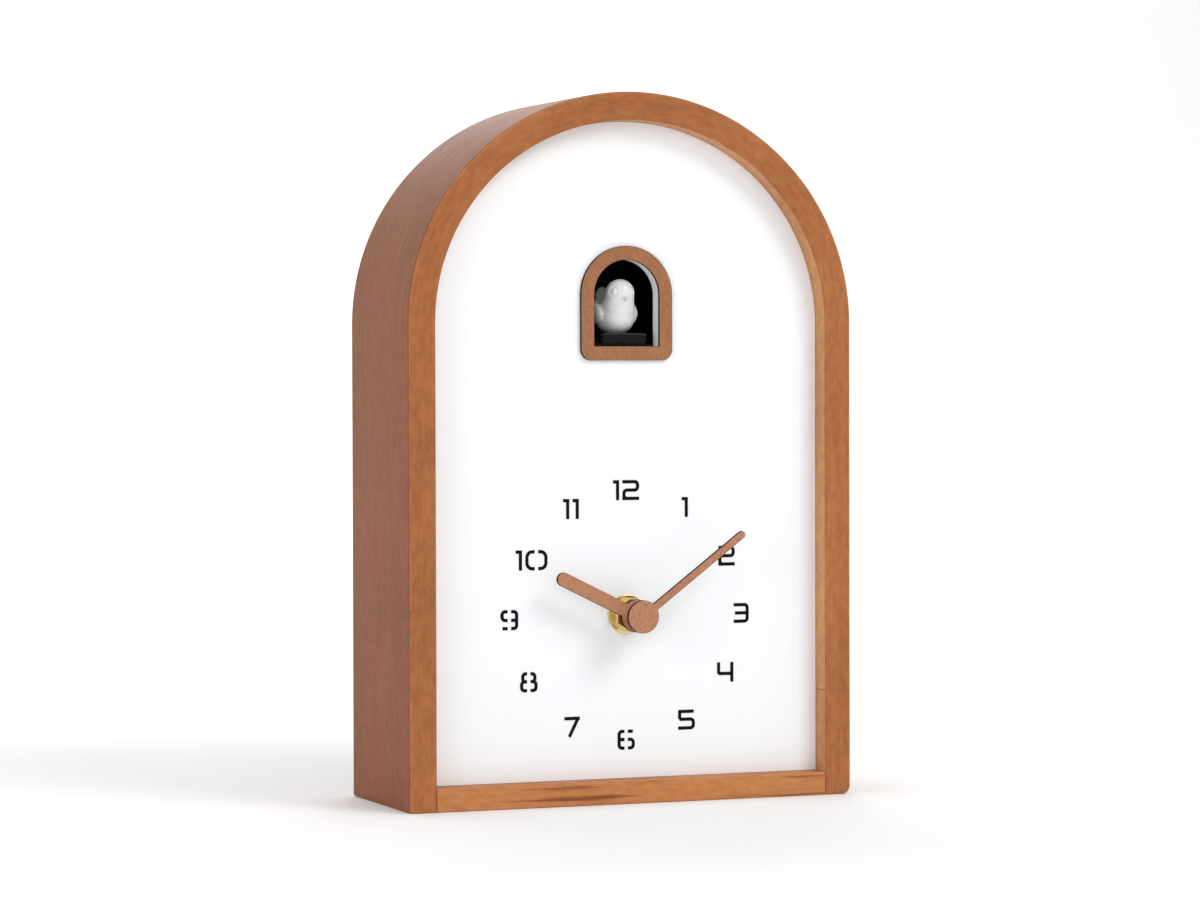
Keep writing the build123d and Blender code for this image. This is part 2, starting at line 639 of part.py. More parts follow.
def train():
    """Wheels of the going train, from the centre wheel to the rotor."""
    third_leaf = mesh_phase(CENTRE_TEETH, TO_THIRD, LEAF_TEETH, TO_THIRD)
    seconds_leaf = mesh_phase(THIRD_TEETH, TO_SECONDS, LEAF_TEETH, TO_SECONDS)
    fifth_leaf = mesh_phase(SECONDS_TEETH, TO_FIFTH, LEAF_TEETH, TO_FIFTH)
    rotor_leaf = mesh_phase(FIFTH_TEETH, TO_ROTOR, LEAF_TEETH, TO_ROTOR)
    m = TRAIN_MODULE
    centre = wheel(CENTRE_TEETH, CENTRE_MODULE, TO_THIRD, HAND_AT, CENTRE_LAYER)
    centre -= disc(ARBOR_R + RUN, HAND_AT, *CENTRE_LAYER)
    third = pivot(THIRD_AT) + wheel(THIRD_TEETH, m, TO_SECONDS, THIRD_AT, THIRD_LAYER)
    third += wheel(LEAF_TEETH, CENTRE_MODULE, third_leaf, THIRD_AT, CENTRE_LAYER)
    seconds = pivot(SECONDS_AT) + wheel(SECONDS_TEETH, m, TO_FIFTH, SECONDS_AT, SECONDS_LAYER)
    seconds += wheel(LEAF_TEETH, m, seconds_leaf, SECONDS_AT, THIRD_LAYER)
    fifth = pivot(FIFTH_AT) + wheel(FIFTH_TEETH, m, TO_ROTOR, FIFTH_AT, FIFTH_LAYER)
    fifth += wheel(LEAF_TEETH, m, fifth_leaf, FIFTH_AT, SECONDS_LAYER)
    rotor = pivot(ROTOR_AT) + disc(MAGNET_R, ROTOR_AT, *ROTOR_LAYER)
    rotor += wheel(LEAF_TEETH, m, rotor_leaf, ROTOR_AT, FIFTH_LAYER)
    return {
        "centre_wheel": centre,
        "third_wheel": third,
        "seconds_wheel": seconds,
        "fifth_wheel": fifth,
        "rotor": rotor,
    }


def stator():
    """Iron plate round the rotor, with the core of the coil."""
    x, z = ROTOR_AT
    plate = block((x - STATOR_HALF, x + STATOR_HALF + 0.5), STATOR_LAYER, (z - STATOR_HALF, CORE_HIGH + 0.6))
    core = block((-10.0, x - STATOR_HALF), STATOR_LAYER, (CORE_LOW, CORE_HIGH))
    return plate + core - disc(STATOR_HOLE_R, ROTOR_AT, STATOR_LAYER[0] - 1, STATOR_LAYER[1] + 1)


def stator_coil():
    x = ROTOR_AT[0]
    centre = (sum(STATOR_LAYER) / 2, (CORE_LOW + CORE_HIGH) / 2)
    winding = rod(COIL_R, (-6.0, x - STATOR_HALF - 2.0), centre)
    return winding - block((-7.0, x), STATOR_LAYER, (CORE_LOW, CORE_HIGH))


def movement_board():
    return block(*CIRCUIT) + block(*CLOCK_CHIP)


# ---------------------------------------------------------------- bird house and drive
def bird_house():
    """Black shell behind the window, with a slotted floor and two guide rails."""
    outer = arch(HOUSE_HALF + HOUSE_WALL, HOUSE_FLOOR - HOUSE_WALL, WINDOW_Z)
    inner = arch(HOUSE_HALF, HOUSE_FLOOR, WINDOW_Z)
    body = slab(outer, DIAL_BACK, HOUSE_BACK + HOUSE_WALL) - slab(inner, DIAL_BACK, HOUSE_BACK)
    width, height, thick = HOUSE_FLANGE
    plate = Pos(0, HOUSE_FLANGE_Z) * Rectangle(width, height) - inner
    flange = slab(plate, DIAL_BACK, DIAL_BACK + thick)
    body += flange - slab(inner, DIAL_BACK, DIAL_BACK + 2)
    for side in (-1, 1):
        near = SLED_HALF + RAIL_PLAY
        rail_x = sorted((side * near, side * (near + RAIL_WIDTH)))
        body += block(rail_x, (DIAL_BACK, HOUSE_BACK), (HOUSE_FLOOR, HOUSE_FLOOR + RAIL_HIGH))
    slot = RACK_HALF + 0.6
    body -= block((-slot, slot), (RACK_FRONT - TRAVEL - 0.8, SLED_BACK + 0.8), (180, HOUSE_FLOOR))
    for spot in HOUSE_SCREWS:
        body -= disc(HOUSE_SCREW_R + 0.2, spot, DIAL_BACK, DIAL_BACK + 2)
    return body


def house_screws():
    back = DIAL_BACK + HOUSE_FLANGE[2]
    return group(
        disc(HOUSE_SCREW_R, spot, DIAL_BACK - HOUSE_SCREW_LONG, back)
        + disc(2 * HOUSE_SCREW_R, spot, back, back + SCREW_HEAD_THICK)
        for spot in HOUSE_SCREWS
    )


def ellipsoid(radii, at, tilt=(0, 0, 0)):
    """Stretched ball whose surface seam faces the back."""
    return Pos(*at) * Rot(*tilt) * scale(Rot(0, 0, 90) * Sphere(1), by=radii)


def bird():
    """Small bird facing the window: body, head, beak, folded wings and raised tail."""
    shape = Pos(*HEAD_AT) * Rot(0, 0, 90) * Sphere(HEAD_R)
    for radii, at, tilt in BIRD_SHAPES:
        shape += ellipsoid(radii, at, (tilt, 0, 0))
    shape += Pos(*BEAK_AT) * Rot(90, 0, 0) * Cone(BEAK_ROOT_R, BEAK_TIP_R, BEAK_LONG)
    x, y, z = WING_AT
    for side in (-1, 1):
        shape += ellipsoid(WING_RADII, (side * x, y, z), (WING_TILT, 0, 0))
    return shape & block(*BIRD_ROOM)


def rack_outline():
    """Side view of the rack: teeth pointing down, one gap over the pinion's axis."""
    pitch = pi * RACK_MODULE
    half = pitch / 4 - PLAY * RACK_MODULE / 2
    tip = PITCH_LINE - ADDENDUM * RACK_MODULE
    root = PITCH_LINE + DEDENDUM * RACK_MODULE
    first = DRIVE_Y + pitch / 2
    points = [(RACK_FRONT, root)]
    for tooth in range(-1, 7):
        middle = first + tooth * pitch
        if middle - half - 0.4 < RACK_FRONT or middle + half + 0.4 > SLED_BACK:
            continue
        for side in (-1, 1):
            slope = tan(PRESSURE) * RACK_MODULE
            at_root = (middle + side * (half + DEDENDUM * slope), root)
            at_tip = (middle + side * (half - ADDENDUM * slope), tip)
            points += [at_root, at_tip] if side < 0 else [at_tip, at_root]
    points += [(SLED_BACK, root), (SLED_BACK, SLED_BOTTOM), (RACK_FRONT, SLED_BOTTOM)]
    return make_face(Polyline(*points, close=True))


def bird_sled():
    """Sliding platform with a front sill and the rack under its rear end."""
    body = block((-SLED_HALF, SLED_HALF), (SLED_FRONT, SLED_BACK), (SLED_BOTTOM, SLED_TOP))
    front = body.edges().filter_by(Axis.X).sort_by(Axis.Y)[:2]
    body = fillet(front, 0.6)
    for side in (-1, 1):
        for z in PIN_HEIGHTS:
            body += rod(0.5, sorted((side * SLED_HALF, side * (SLED_HALF + PIN_LONG))), (PIN_Y, z))
    rack = extrude(Plane.YZ.offset(-RACK_HALF) * rack_outline(), 2 * RACK_HALF)
    return body + rack


def side_gear(teeth, module, phase, at, x):
    """Gear that turns about the X axis."""
    return extrude(Plane.YZ.offset(x[0]) * (Pos(*at) * gear(teeth, module, phase)), x[1] - x[0])


def rack_pinion():
    """Pinion under the rack, with its shaft."""
    at = (DRIVE_Y, DRIVE_Z)
    body = side_gear(RACK_TEETH, RACK_MODULE, 90, at, (-RACK_HALF, RACK_HALF))
    return body + rod(SHAFT_R, SHAFT_X, at)


def reduction_gear():
    at = (DRIVE_Y, DRIVE_Z)
    body = side_gear(DRIVE_TEETH, DRIVE_MODULE, -90, at, DRIVE_X)
    return body - rod(SHAFT_R, SHAFT_X, at)


def motor_pinion():
    """Motor shaft with its pinion."""
    at = (DRIVE_Y, MOTOR_Z)
    phase = mesh_phase(DRIVE_TEETH, -90, MOTOR_TEETH, -90)
    body = side_gear(MOTOR_TEETH, DRIVE_MODULE, phase, at, MOTOR_GEAR_X)
    return body + rod(MOTOR_SHAFT_R, (MOTOR_GEAR_X[1], MOTOR_FACE + 6.6), at)


def bird_motor():
    at = (DRIVE_Y, MOTOR_Z)
    end = MOTOR_FACE + MOTOR_LENGTH
    can = rod(MOTOR_R, (MOTOR_FACE, end), at) + rod(2.0, (end, end + 1.0), at)
    return can - rod(MOTOR_SHAFT_R + RUN, (MOTOR_FACE - 0.4, MOTOR_FACE + 7.0), at)


def bird_gear_frame():
    """Two bearing plates and a cross plate, hung under the house."""
    low, high = MOTOR_Z - MOTOR_R - 0.5, HOUSE_FLOOR - HOUSE_WALL
    cross = (PLATE_Y[1] - CROSS_PLATE, PLATE_Y[1])
    body = block(PLATE_LEFT, PLATE_Y, (low, high)) + block(PLATE_RIGHT, PLATE_Y, (low, high))
    body += block((PLATE_LEFT[0], PLATE_RIGHT[1]), cross, (low, DRIVE_Z + 3.0))
    through = (PLATE_LEFT[0] - 1.0, PLATE_RIGHT[1] + 1.0)
    body -= rod(SHAFT_R + RUN, through, (DRIVE_Y, DRIVE_Z))
    return body - rod(2 * MOTOR_SHAFT_R, (PLATE_RIGHT[0] - 1.0, through[1]), (DRIVE_Y, MOTOR_Z))


# ---------------------------------------------------------------- back
def mounting_blocks():
    """Wooden blocks glued inside the arch, one behind each cover screw."""
    inside = case_outline(WALL, BOARD)
    pieces = []
    for x, z in SCREW_SPOTS:
        square = Pos(x, z) * Rectangle(BLOCK_SIDE + 0.2, BLOCK_SIDE)
        outline = (square & inside) - Pos(x, z) * Circle(SCREW_R + 0.05)
        pieces.append(slab(outline, BLOCK_FRONT, COVER_Y))
    return group(pieces)


def cover_screws():
    return group(
        disc(SCREW_R, spot, COVER_Y - SCREW_LONG, COVER_BACK)
        + disc(SCREW_HEAD_R, spot, COVER_BACK, COVER_BACK + SCREW_HEAD_THICK)
        for spot in SCREW_SPOTS
    )


def keyhole(radius, slot):
    """Round hole with a slot above it for a wall screw."""
    rise = Pos(0, KEYHOLE_Z + KEYHOLE_RISE / 2) * Rectangle(2 * slot, KEYHOLE_RISE)
    end = Pos(0, KEYHOLE_Z + KEYHOLE_RISE) * Circle(slot)
    return Pos(0, KEYHOLE_Z) * Circle(radius) + rise + end


def hanger_plate():
    """Steel keyhole plate riveted on the back cover."""
    width, height, thick = HANGER
    outline = fillet((Pos(0, HANGER_Z) * Rectangle(width, height)).vertices(), 3)
    face = COVER_BACK + thick
    plate = slab(outline - keyhole(KEYHOLE_R, KEYHOLE_SLOT), COVER_BACK, face)
    for x in (-RIVET_X, RIVET_X):
        plate += disc(RIVET_R, (x, HANGER_Z), face, face + RIVET_HIGH)
    return plate


def grille_spots():
    """Sound holes: one in the middle and two rings round it."""
    spots = [SPEAKER_AT]
    for count, radius in GRILLE:
        spots += [away(SPEAKER_AT, radius, 360 * k / count) for k in range(count)]
    return spots


def back_cover():
    """Cover set in the back of the arch, with every opening that the rear needs."""
    outline = case_outline(WALL + COVER_PLAY, BOARD + COVER_PLAY)
    for spot in SCREW_SPOTS:
        outline -= Pos(*spot) * Circle(SCREW_R + 0.3)
    for spot in grille_spots():
        outline -= Pos(*spot) * Circle(GRILLE_R)
    outline -= keyhole(KEYHOLE_R + 2.0, KEYHOLE_SLOT + 2.0)
    outline -= Pos(*SETTING_AT) * Circle(KNOB_R + 0.8)
    outline -= Pos(*VOLUME_AT) * Circle(VOLUME_R + 0.5)
    outline -= Pos(*BUTTON_AT) * Circle(BUTTON_R + 0.4)
    outline -= Pos(*SWITCH_AT) * Rectangle(10.0, 4.0)
    outline -= Pos(*SENSOR_AT) * Circle(SENSOR_R + 0.1)
    bay = Rectangle(2 * (BAY_HALF - BAY_LEDGE), BAY_HIGH - BAY_LOW - 2 * BAY_LEDGE)
    outline -= Pos(0, (BAY_LOW + BAY_HIGH) / 2) * bay
    body = slab(outline, COVER_Y, COVER_BACK)
    for x, z in board_posts():
        body += disc(POST_R, (x, z), BOARD_Y + BOARD_THICK, COVER_Y)
    return body


def board_posts():
    """Posts of the back cover that carry the control board."""
    return [(CONTROL_X + x, z) for x in (-18.0, 18.0) for z in (84.0, 140.0)]


def control_board():
    """Board of the sound, light and bird control."""
    outline = Pos(*VOLUME_AT) * Rectangle(*CONTROL_BOARD)
    return slab(outline, BOARD_Y, BOARD_Y + BOARD_THICK)


def board_parts():
    """Chips and capacitors on the front of the control board."""
    pieces = []
    for (left, right), z in CHIPS:
        across = (CONTROL_X + left, CONTROL_X + right)
        pieces.append(block(across, (BOARD_Y - CHIP_HIGH, BOARD_Y), z))
    for spot in CAPACITORS:
        pieces.append(disc(CAPACITOR_R, spot, BOARD_Y - CAPACITOR_HIGH, BOARD_Y))
    return group(pieces)


def control_bodies():
    """Bodies of the slide switch, the volume control and the push switch."""
    rear = BOARD_Y + BOARD_THICK
    x, z = SWITCH_AT
    half, tall, deep = SWITCH_BODY
    switch = block((x - half, x + half), (rear, rear + deep), (z - tall, z + tall))
    volume = disc(VOLUME_BODY_R, VOLUME_AT, rear, rear + VOLUME_BODY_DEEP)
    volume -= disc(VOLUME_SHAFT_R + RUN, VOLUME_AT, rear + 0.4, rear + 3)
    x, z = BUTTON_AT
    half, deep = BUTTON_BODY
    push = block((x - half, x + half), (rear, rear + deep), (z - half, z + half))
    return group([switch, volume, push])


def mode_switch():
    """Lever of the three-position slide switch."""
    x, z = SWITCH_AT
    rear = BOARD_Y + BOARD_THICK + SWITCH_BODY[2] + 0.1
    half, tall, deep = LEVER_FOOT
    base = block((x - half, x + half), (rear, rear + deep), (z - tall, z + tall))
    half, tall = LEVER
    return base + block((x - half, x + half), (rear, COVER_BACK + 0.8), (z - tall, z + tall))


def volume_knob():
    """Volume knob with a pointer slot."""
    rear = BOARD_Y + BOARD_THICK
    under = rear + VOLUME_BODY_DEEP + 0.2
    body = disc(VOLUME_R, VOLUME_AT, under, COVER_BACK + 1.0)
    body += disc(VOLUME_SHAFT_R, VOLUME_AT, rear + 0.6, under)
    x, z = VOLUME_AT
    slot = (x - POINTER_HALF, x + POINTER_HALF)
    return body - block(slot, (COVER_BACK + 0.4, COVER_BACK + 2), (z, z + VOLUME_R + 1))


def test_button():
    """Push button that makes the bird call once."""
    front = BOARD_Y + BOARD_THICK + BUTTON_FREE
    flange = disc(BUTTON_FLANGE_R, BUTTON_AT, front, COVER_Y - 0.4)
    return flange + disc(BUTTON_R, BUTTON_AT, front, COVER_BACK + 1.0)


def speaker():
    """Steel basket with a round rim, held behind the sound holes."""
    rim = disc(SPEAKER_R, SPEAKER_AT, COVER_Y - 3.0, COVER_Y)
    rim -= disc(SPEAKER_R - 3.0, SPEAKER_AT, COVER_Y - 2.0, COVER_Y)
    return rim + disc(BASKET_R, SPEAKER_AT, COVER_Y - BASKET_DEEP, COVER_Y - 3.0)


def speaker_cone():
    cone = Cone(SPEAKER_R - 3.2, 5.0, 1.8, align=(Align.CENTER, Align.CENTER, Align.MIN))
    x, z = SPEAKER_AT
    return Pos(x, COVER_Y - 0.2, z) * Rot(90, 0, 0) * cone


def speaker_magnet():
    return disc(MAGNET_BLOCK_R, SPEAKER_AT, COVER_Y - MAGNET_BLOCK_DEEP, COVER_Y - BASKET_DEEP)


def light_sensor():
    dome = disc(SENSOR_R, SENSOR_AT, COVER_Y - 4.0, COVER_BACK - 0.5)
    return dome + disc(SENSOR_FLANGE_R, SENSOR_AT, COVER_Y - 5.0, COVER_Y - 0.1)


# ---------------------------------------------------------------- batteries
def cell_heights():
    middle = (BAY_LOW + BAY_HIGH) / 2
    return [middle - CELL_PITCH, middle, middle + CELL_PITCH]


def battery_bay():
    """Open-backed tray with ribs between the cells."""
    body = block((-BAY_HALF, BAY_HALF), (BAY_FRONT, COVER_Y), (BAY_LOW, BAY_HIGH))
    inner = BAY_HALF - BAY_WALL
    low, high = BAY_LOW + BAY_WALL, BAY_HIGH - BAY_WALL
    body -= block((-inner, inner), (BAY_FRONT + BAY_WALL, COVER_Y), (low, high))
    for z in (cell_heights()[0] + CELL_PITCH / 2, cell_heights()[1] + CELL_PITCH / 2):
        rib = (BAY_FRONT + BAY_WALL, BAY_FRONT + RIB_DEEP)
        body += block((-inner, inner), rib, (z - RIB_HALF, z + RIB_HALF))
    return body


def batteries():
    """Three round cells lying side by side, turned alternately."""
    depth = BAY_FRONT + BAY_WALL + CELL_R + CELL_PLAY
    half = CELL_LENGTH / 2
    pieces = []
    for number, z in enumerate(cell_heights()):
        side = -1 if number % 2 else 1
        can = rod(CELL_R, (-half, half), (depth, z))
        nub_x = sorted((side * half, side * (half + NUB_LONG)))
        pieces.append(can + rod(NUB_R, nub_x, (depth, z)))
    return group(pieces)


def battery_contacts():
    """Sprung contact plates at both ends of each cell."""
    depth = BAY_FRONT + BAY_WALL + CELL_R + CELL_PLAY
    wall = BAY_HALF - BAY_WALL
    pieces = []
    for number, z in enumerate(cell_heights()):
        for side in (-1, 1):
            face = wall - CONTACT_THICK
            x = sorted((side * face, side * wall))
            plate = block(x, (BAY_FRONT + 2.0, COVER_Y - 4.0), (z - CONTACT_HALF, z + CONTACT_HALF))
            at_nub = side == (-1 if number % 2 else 1)
            reach = CELL_LENGTH / 2 + (NUB_LONG if at_nub else 0.0)
            bump = rod(NUB_R - 0.4, sorted((side * reach, side * face)), (depth, z))
            pieces.append(plate + bump)
    return group(pieces)


def battery_door():
    """Door over the battery bay, with a finger notch."""
    inset = BAY_LEDGE + DOOR_GAP
    half = BAY_HALF - inset
    low, high = BAY_LOW + inset, BAY_HIGH - inset
    step = high - NOTCH_HIGH + 2.0
    body = block((-half, half), (COVER_Y, COVER_BACK - 0.1), (low, high))
    notch = (-NOTCH_HALF, NOTCH_HALF)
    body -= block(notch, (COVER_BACK - 1.2, COVER_BACK), (high - NOTCH_HIGH, step))
    return body - block(notch, (COVER_BACK - 0.7, COVER_BACK), (step, high + 1))


# ---------------------------------------------------------------- leads
def lead(*points):
    """Insulated wire along straight runs joined by arcs as large as the runs allow."""
    spots = [Vector(*point) for point in points]
    runs = [after - before for before, after in zip(spots, spots[1:])]
    radii = [
        0.45 * min(before.length, after.length) / tan(radians(before.get_angle(after) / 2))
        for before, after in zip(runs, runs[1:])
    ]
    path = FilletPolyline(*points, radius=radii)
    start = Plane(origin=path @ 0, z_dir=path % 0)
    return sweep(start * Circle(LEAD_R), path=path)


def leads():
    """Wires from the control board to the bay, the motor, the speaker and the movement."""
    return {name: group(lead(*points) for points in routes) for name, routes in LEAD_ROUTES.items()}


# ---------------------------------------------------------------- write the parts
def model():
    """Every node of the clock, by name."""
    nodes = {
        "case_arch": case_arch(),
        "bottom_board": bottom_board(),
        "dial_panel": dial_panel(),
        "window_trim": window_trim(),
        "dial_numerals": dial_numerals(),
        "minute_hand": minute_hand(),
        "hour_hand": hour_hand(),
        "minute_collet": hand_collet(MINUTE_COLLET, ARBOR_R, MINUTE_Y + HAND_THICK),
        "hour_collet": hand_collet(HOUR_COLLET, HOUR_PIPE_R, HOUR_Y + HAND_THICK),
        "minute_arbor": minute_arbor(),
        "hour_wheel": hour_wheel(),
        "motion_wheel": motion_wheel(),
        "setting_stem": setting_stem(),
        "setting_knob": setting_knob(),
        "threaded_bush": threaded_bush(),
        "dial_washer": dial_washer(),
        "hand_nut": hand_nut(),
        "rubber_washer": rubber_washer(),
        "movement_case": movement_case(),
        "movement_cover": movement_cover(),
        "train_plate": train_plate(),
        "stator": stator(),
        "stator_coil": stator_coil(),
        "movement_board": movement_board(),
        "bird_house": bird_house(),
        "house_screws": house_screws(),
        "bird": bird(),
        "bird_sled": bird_sled(),
        "rack_pinion": rack_pinion(),
        "reduction_gear": reduction_gear(),
        "motor_pinion": motor_pinion(),
        "bird_motor": bird_motor(),
        "bird_gear_frame": bird_gear_frame(),
        "mounting_blocks": mounting_blocks(),
        "cover_screws": cover_screws(),
        "back_cover": back_cover(),
        "hanger_plate": hanger_plate(),
        "control_board": control_board(),
        "board_parts": board_parts(),
        "control_bodies": control_bodies(),
        "mode_switch": mode_switch(),
        "volume_knob": volume_knob(),
        "test_button": test_button(),
        "speaker": speaker(),
        "speaker_cone": speaker_cone(),
        "speaker_magnet": speaker_magnet(),
        "light_sensor": light_sensor(),
        "battery_bay": battery_bay(),
        "batteries": batteries(),
        "battery_contacts": battery_contacts(),
        "battery_door": battery_door(),
    }
    nodes.update(train())
    nodes.update(leads())
    return nodes


os.makedirs("parts", exist_ok=True)
for node, shape in model().items():
    export_step(shape, f"parts/{node}.step")
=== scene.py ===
import json
import math

import bmesh
import bpy
from mathutils import Matrix, Vector, noise


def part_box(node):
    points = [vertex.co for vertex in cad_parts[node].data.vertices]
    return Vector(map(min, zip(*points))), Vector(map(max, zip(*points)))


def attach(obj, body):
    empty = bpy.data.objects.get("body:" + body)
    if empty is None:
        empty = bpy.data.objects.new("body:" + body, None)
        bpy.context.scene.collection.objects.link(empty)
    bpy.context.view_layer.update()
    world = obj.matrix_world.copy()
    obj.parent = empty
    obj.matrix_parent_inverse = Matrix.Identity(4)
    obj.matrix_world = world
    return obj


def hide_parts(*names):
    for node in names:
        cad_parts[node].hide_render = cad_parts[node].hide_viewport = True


# Looks of the round-headed cuckoo clock.  Metres, in the frame of the CAD part:
# X right as seen from the front, Y to the back, Z up.

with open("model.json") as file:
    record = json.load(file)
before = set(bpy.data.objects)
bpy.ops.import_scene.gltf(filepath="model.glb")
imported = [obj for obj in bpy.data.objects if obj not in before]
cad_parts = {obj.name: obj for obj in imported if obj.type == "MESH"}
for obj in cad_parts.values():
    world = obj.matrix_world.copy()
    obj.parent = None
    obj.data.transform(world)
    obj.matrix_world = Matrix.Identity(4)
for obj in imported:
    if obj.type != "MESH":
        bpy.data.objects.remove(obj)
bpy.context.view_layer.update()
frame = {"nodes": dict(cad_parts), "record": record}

MM = 0.001
nodes = frame["nodes"]


# ---------------------------------------------------------------- places read from the frame
def low(node):
    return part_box(node)[0]


def high(node):
    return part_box(node)[1]


FRONT, BACK = low("case_arch").y, high("case_arch").y
OUTER_HALF, HEIGHT = high("case_arch").x, high("case_arch").z
SPRING = 202.0 * MM
SEAM = 0.05 * MM
INNER_HALF = high("dial_panel").x + SEAM
WALL = OUTER_HALF - INNER_HALF
BOARD_TOP = high("bottom_board").z
DIAL_Y, DIAL_BACK = low("dial_panel").y, high("dial_panel").y
TRIM_Y = low("window_trim").y
TRIM_R = high("window_trim").x
TRIM_LOW = low("window_trim").z
WINDOW_Z = high("window_trim").z - TRIM_R
TRIM_WIDTH = 5.9 * MM
TRIM_CORNER = 4.6 * MM
WINDOW_R = TRIM_R - TRIM_WIDTH
SILL = TRIM_LOW + TRIM_WIDTH
HOLE_PLAY = 0.3 * MM
FOOT_LEFT, FOOT_RIGHT = 1.2 * MM, 3.8 * MM
EDGE_ROUND, END_ROUND = 0.7 * MM, 0.18 * MM
JOINT_Z = 45.0 * MM

DIAL_BORE = 4.1 * MM
BUSH_CREST, BUSH_CORE, THREAD_PITCH = 3.95 * MM, 2.56 * MM, 0.75 * MM

# The back.  A cutting shape stands proud of what it cuts by CUT_PLAY.
CUT_PLAY = 1.0 * MM
COVER_Y = 33.5 * MM
COVER_PLAY = 0.3 * MM
DOOR_PLAY = 0.35 * MM
SCREW_HOLE, SOUND_HOLE, SENSOR_HOLE = 1.7 * MM, 1.5 * MM, 2.6 * MM
SETTING_HOLE, VOLUME_HOLE, BUTTON_HOLE = 9.8 * MM, 6.5 * MM, 3.4 * MM
SOUND_RINGS = ((6, 6 * MM), (12, 12 * MM))
POST_SPOTS = [(x * MM, z * MM) for x in (-18, 18) for z in (-28, 28)]
SCREW_SPOTS = [(x * MM, z * MM) for x in (-80, 80) for z in (20, 108, 192)] + [(0.0, 278 * MM)]
KEYHOLE_Z = 252.0 * MM
KEYHOLE_RISE = 10.0 * MM
PLATE_KEYHOLE, COVER_KEYHOLE = (4.5 * MM, 2.2 * MM), (6.5 * MM, 4.2 * MM)
RIVET_X = 13.0 * MM
SPEAKER_AT = (-50.0 * MM, 190.0 * MM)
SWITCH_Z = 132.0 * MM

HAND_Z = (low("dial_washer").z + high("dial_washer").z) / 2
# Hands: piece, node, body, and length, width, disc radius and angle from 12 in degrees.
HANDS = (
    ("minute_pointer", "minute_hand", "minute", (57.6 * MM, 3.2 * MM, 6.9 * MM, 53.2)),
    ("hour_pointer", "hour_hand", "hour", (39.4 * MM, 5.8 * MM, 6.9 * MM, 296.0)),
)

# The camera stands to the left of the dial's middle and looks slightly down.
CAMERA_PLACE = (-0.6118, -1.5336, 0.1803)
CAMERA_YAW, CAMERA_PITCH, CAMERA_ROLL = 21.729, 1.160, -0.143
CAMERA_LENS = 115.54

# Area lights: name, place, target, size and power, in metres and watts.
WORLD_STRENGTH = 0.62
CLOCK_MIDDLE = (0, 0, 0.15)
LIGHTS = (
    ("key", (1.0, -1.6, 1.7), CLOCK_MIDDLE, (1.0, 0.9), 21),
    ("front", (-0.5, -2.3, 0.9), CLOCK_MIDDLE, (1.8, 1.2), 10),
    ("left", (-1.9, -1.1, 0.5), (0, -0.03, 0.15), (0.9, 1.2), 10),
    ("top", (-0.2, 0.2, 2.2), CLOCK_MIDDLE, (1.4, 1.0), 5),
    ("rear", (0.7, 2.0, 1.2), CLOCK_MIDDLE, (1.4, 1.0), 6),
    ("backdrop", (0.0, 1.7, 2.6), (0, 3.4, 0.7), (3.0, 1.0), 60),
)
STAGE_FRONT, STAGE_BEND, STAGE_RADIUS, STAGE_TOP, STAGE_HALF = -4.0, 2.0, 1.5, 4.0, 5.0

# Balls that make the bird, in millimetres above its sled: radii, middle, tilt and roll.
BIRD_BALLS = (
    ((8.3, 10.2, 8.2), (0, -15.6, 7.2), 0, 0),
    ((7.9, 7.0, 8.6), (0, -17.8, 8.4), 0, 0),
    ((6.9, 7.0, 8.4), (0, -19.6, 11.4), 0, 0),
    ((6.3, 6.3, 6.6), (0, -20.9, 13.6), 0, 0),
    ((6.2, 6.2, 6.1), (0, -21.6, 16.8), 0, 0),
    ((4.4, 1.9, 7.4), (0, -4.9, 13.9), -34, 0),
    ((1.05, 2.1, 0.8), (0, -27.8, 14.5), -10, 0),
    ((1.6, 1.3, 1.3), (0, -26.9, 14.9), 0, 0),
    ((2.2, 7.9, 4.8), (-7.7, -13.0, 8.9), 16, -6),
    ((1.5, 5.4, 2.6), (-6.1, -6.6, 12.0), 30, 0),
    ((2.2, 7.9, 4.8), (7.7, -13.0, 8.9), 16, 6),
    ((1.5, 5.4, 2.6), (6.1, -6.6, 12.0), 30, 0),
)
BIRD_VOXEL, BIRD_EASE, BIRD_EASE_STEPS = 0.26, 0.6, 26


# ---------------------------------------------------------------- camera and light
def make_camera():
    """Camera at the photograph's viewing angle."""
    yaw, pitch, roll = (math.radians(a) for a in (CAMERA_YAW, CAMERA_PITCH, CAMERA_ROLL))
    ahead = Vector((math.sin(yaw) * math.cos(pitch), math.cos(yaw) * math.cos(pitch), -math.sin(pitch)))
    right = Vector((math.cos(yaw), -math.sin(yaw), 0))
    up = right.cross(ahead)
    right, up = (
        right * math.cos(roll) + up * math.sin(roll),
        up * math.cos(roll) - right * math.sin(roll),
    )
    data = bpy.data.cameras.new("camera")
    data.lens = CAMERA_LENS
    data.sensor_width = 36
    data.clip_start, data.clip_end = 0.05, 50
    camera = bpy.data.objects.new("camera", data)
    turn = Matrix((right, up, -ahead)).transposed().to_4x4()
    camera.matrix_world = Matrix.Translation(CAMERA_PLACE) @ turn
    bpy.context.scene.collection.objects.link(camera)
    bpy.context.scene.camera = camera


def area_light(name, spot, target, size, power):
    """Soft rectangular light that faces a target."""
    data = bpy.data.lights.new(name, "AREA")
    data.shape = "RECTANGLE"
    data.size, data.size_y = size
    data.energy = power
    light = bpy.data.objects.new(name, data)
    aim = Vector(target) - Vector(spot)
    light.matrix_world = Matrix.Translation(spot) @ aim.to_track_quat("-Z", "Y").to_matrix().to_4x4()
    bpy.context.scene.collection.objects.link(light)


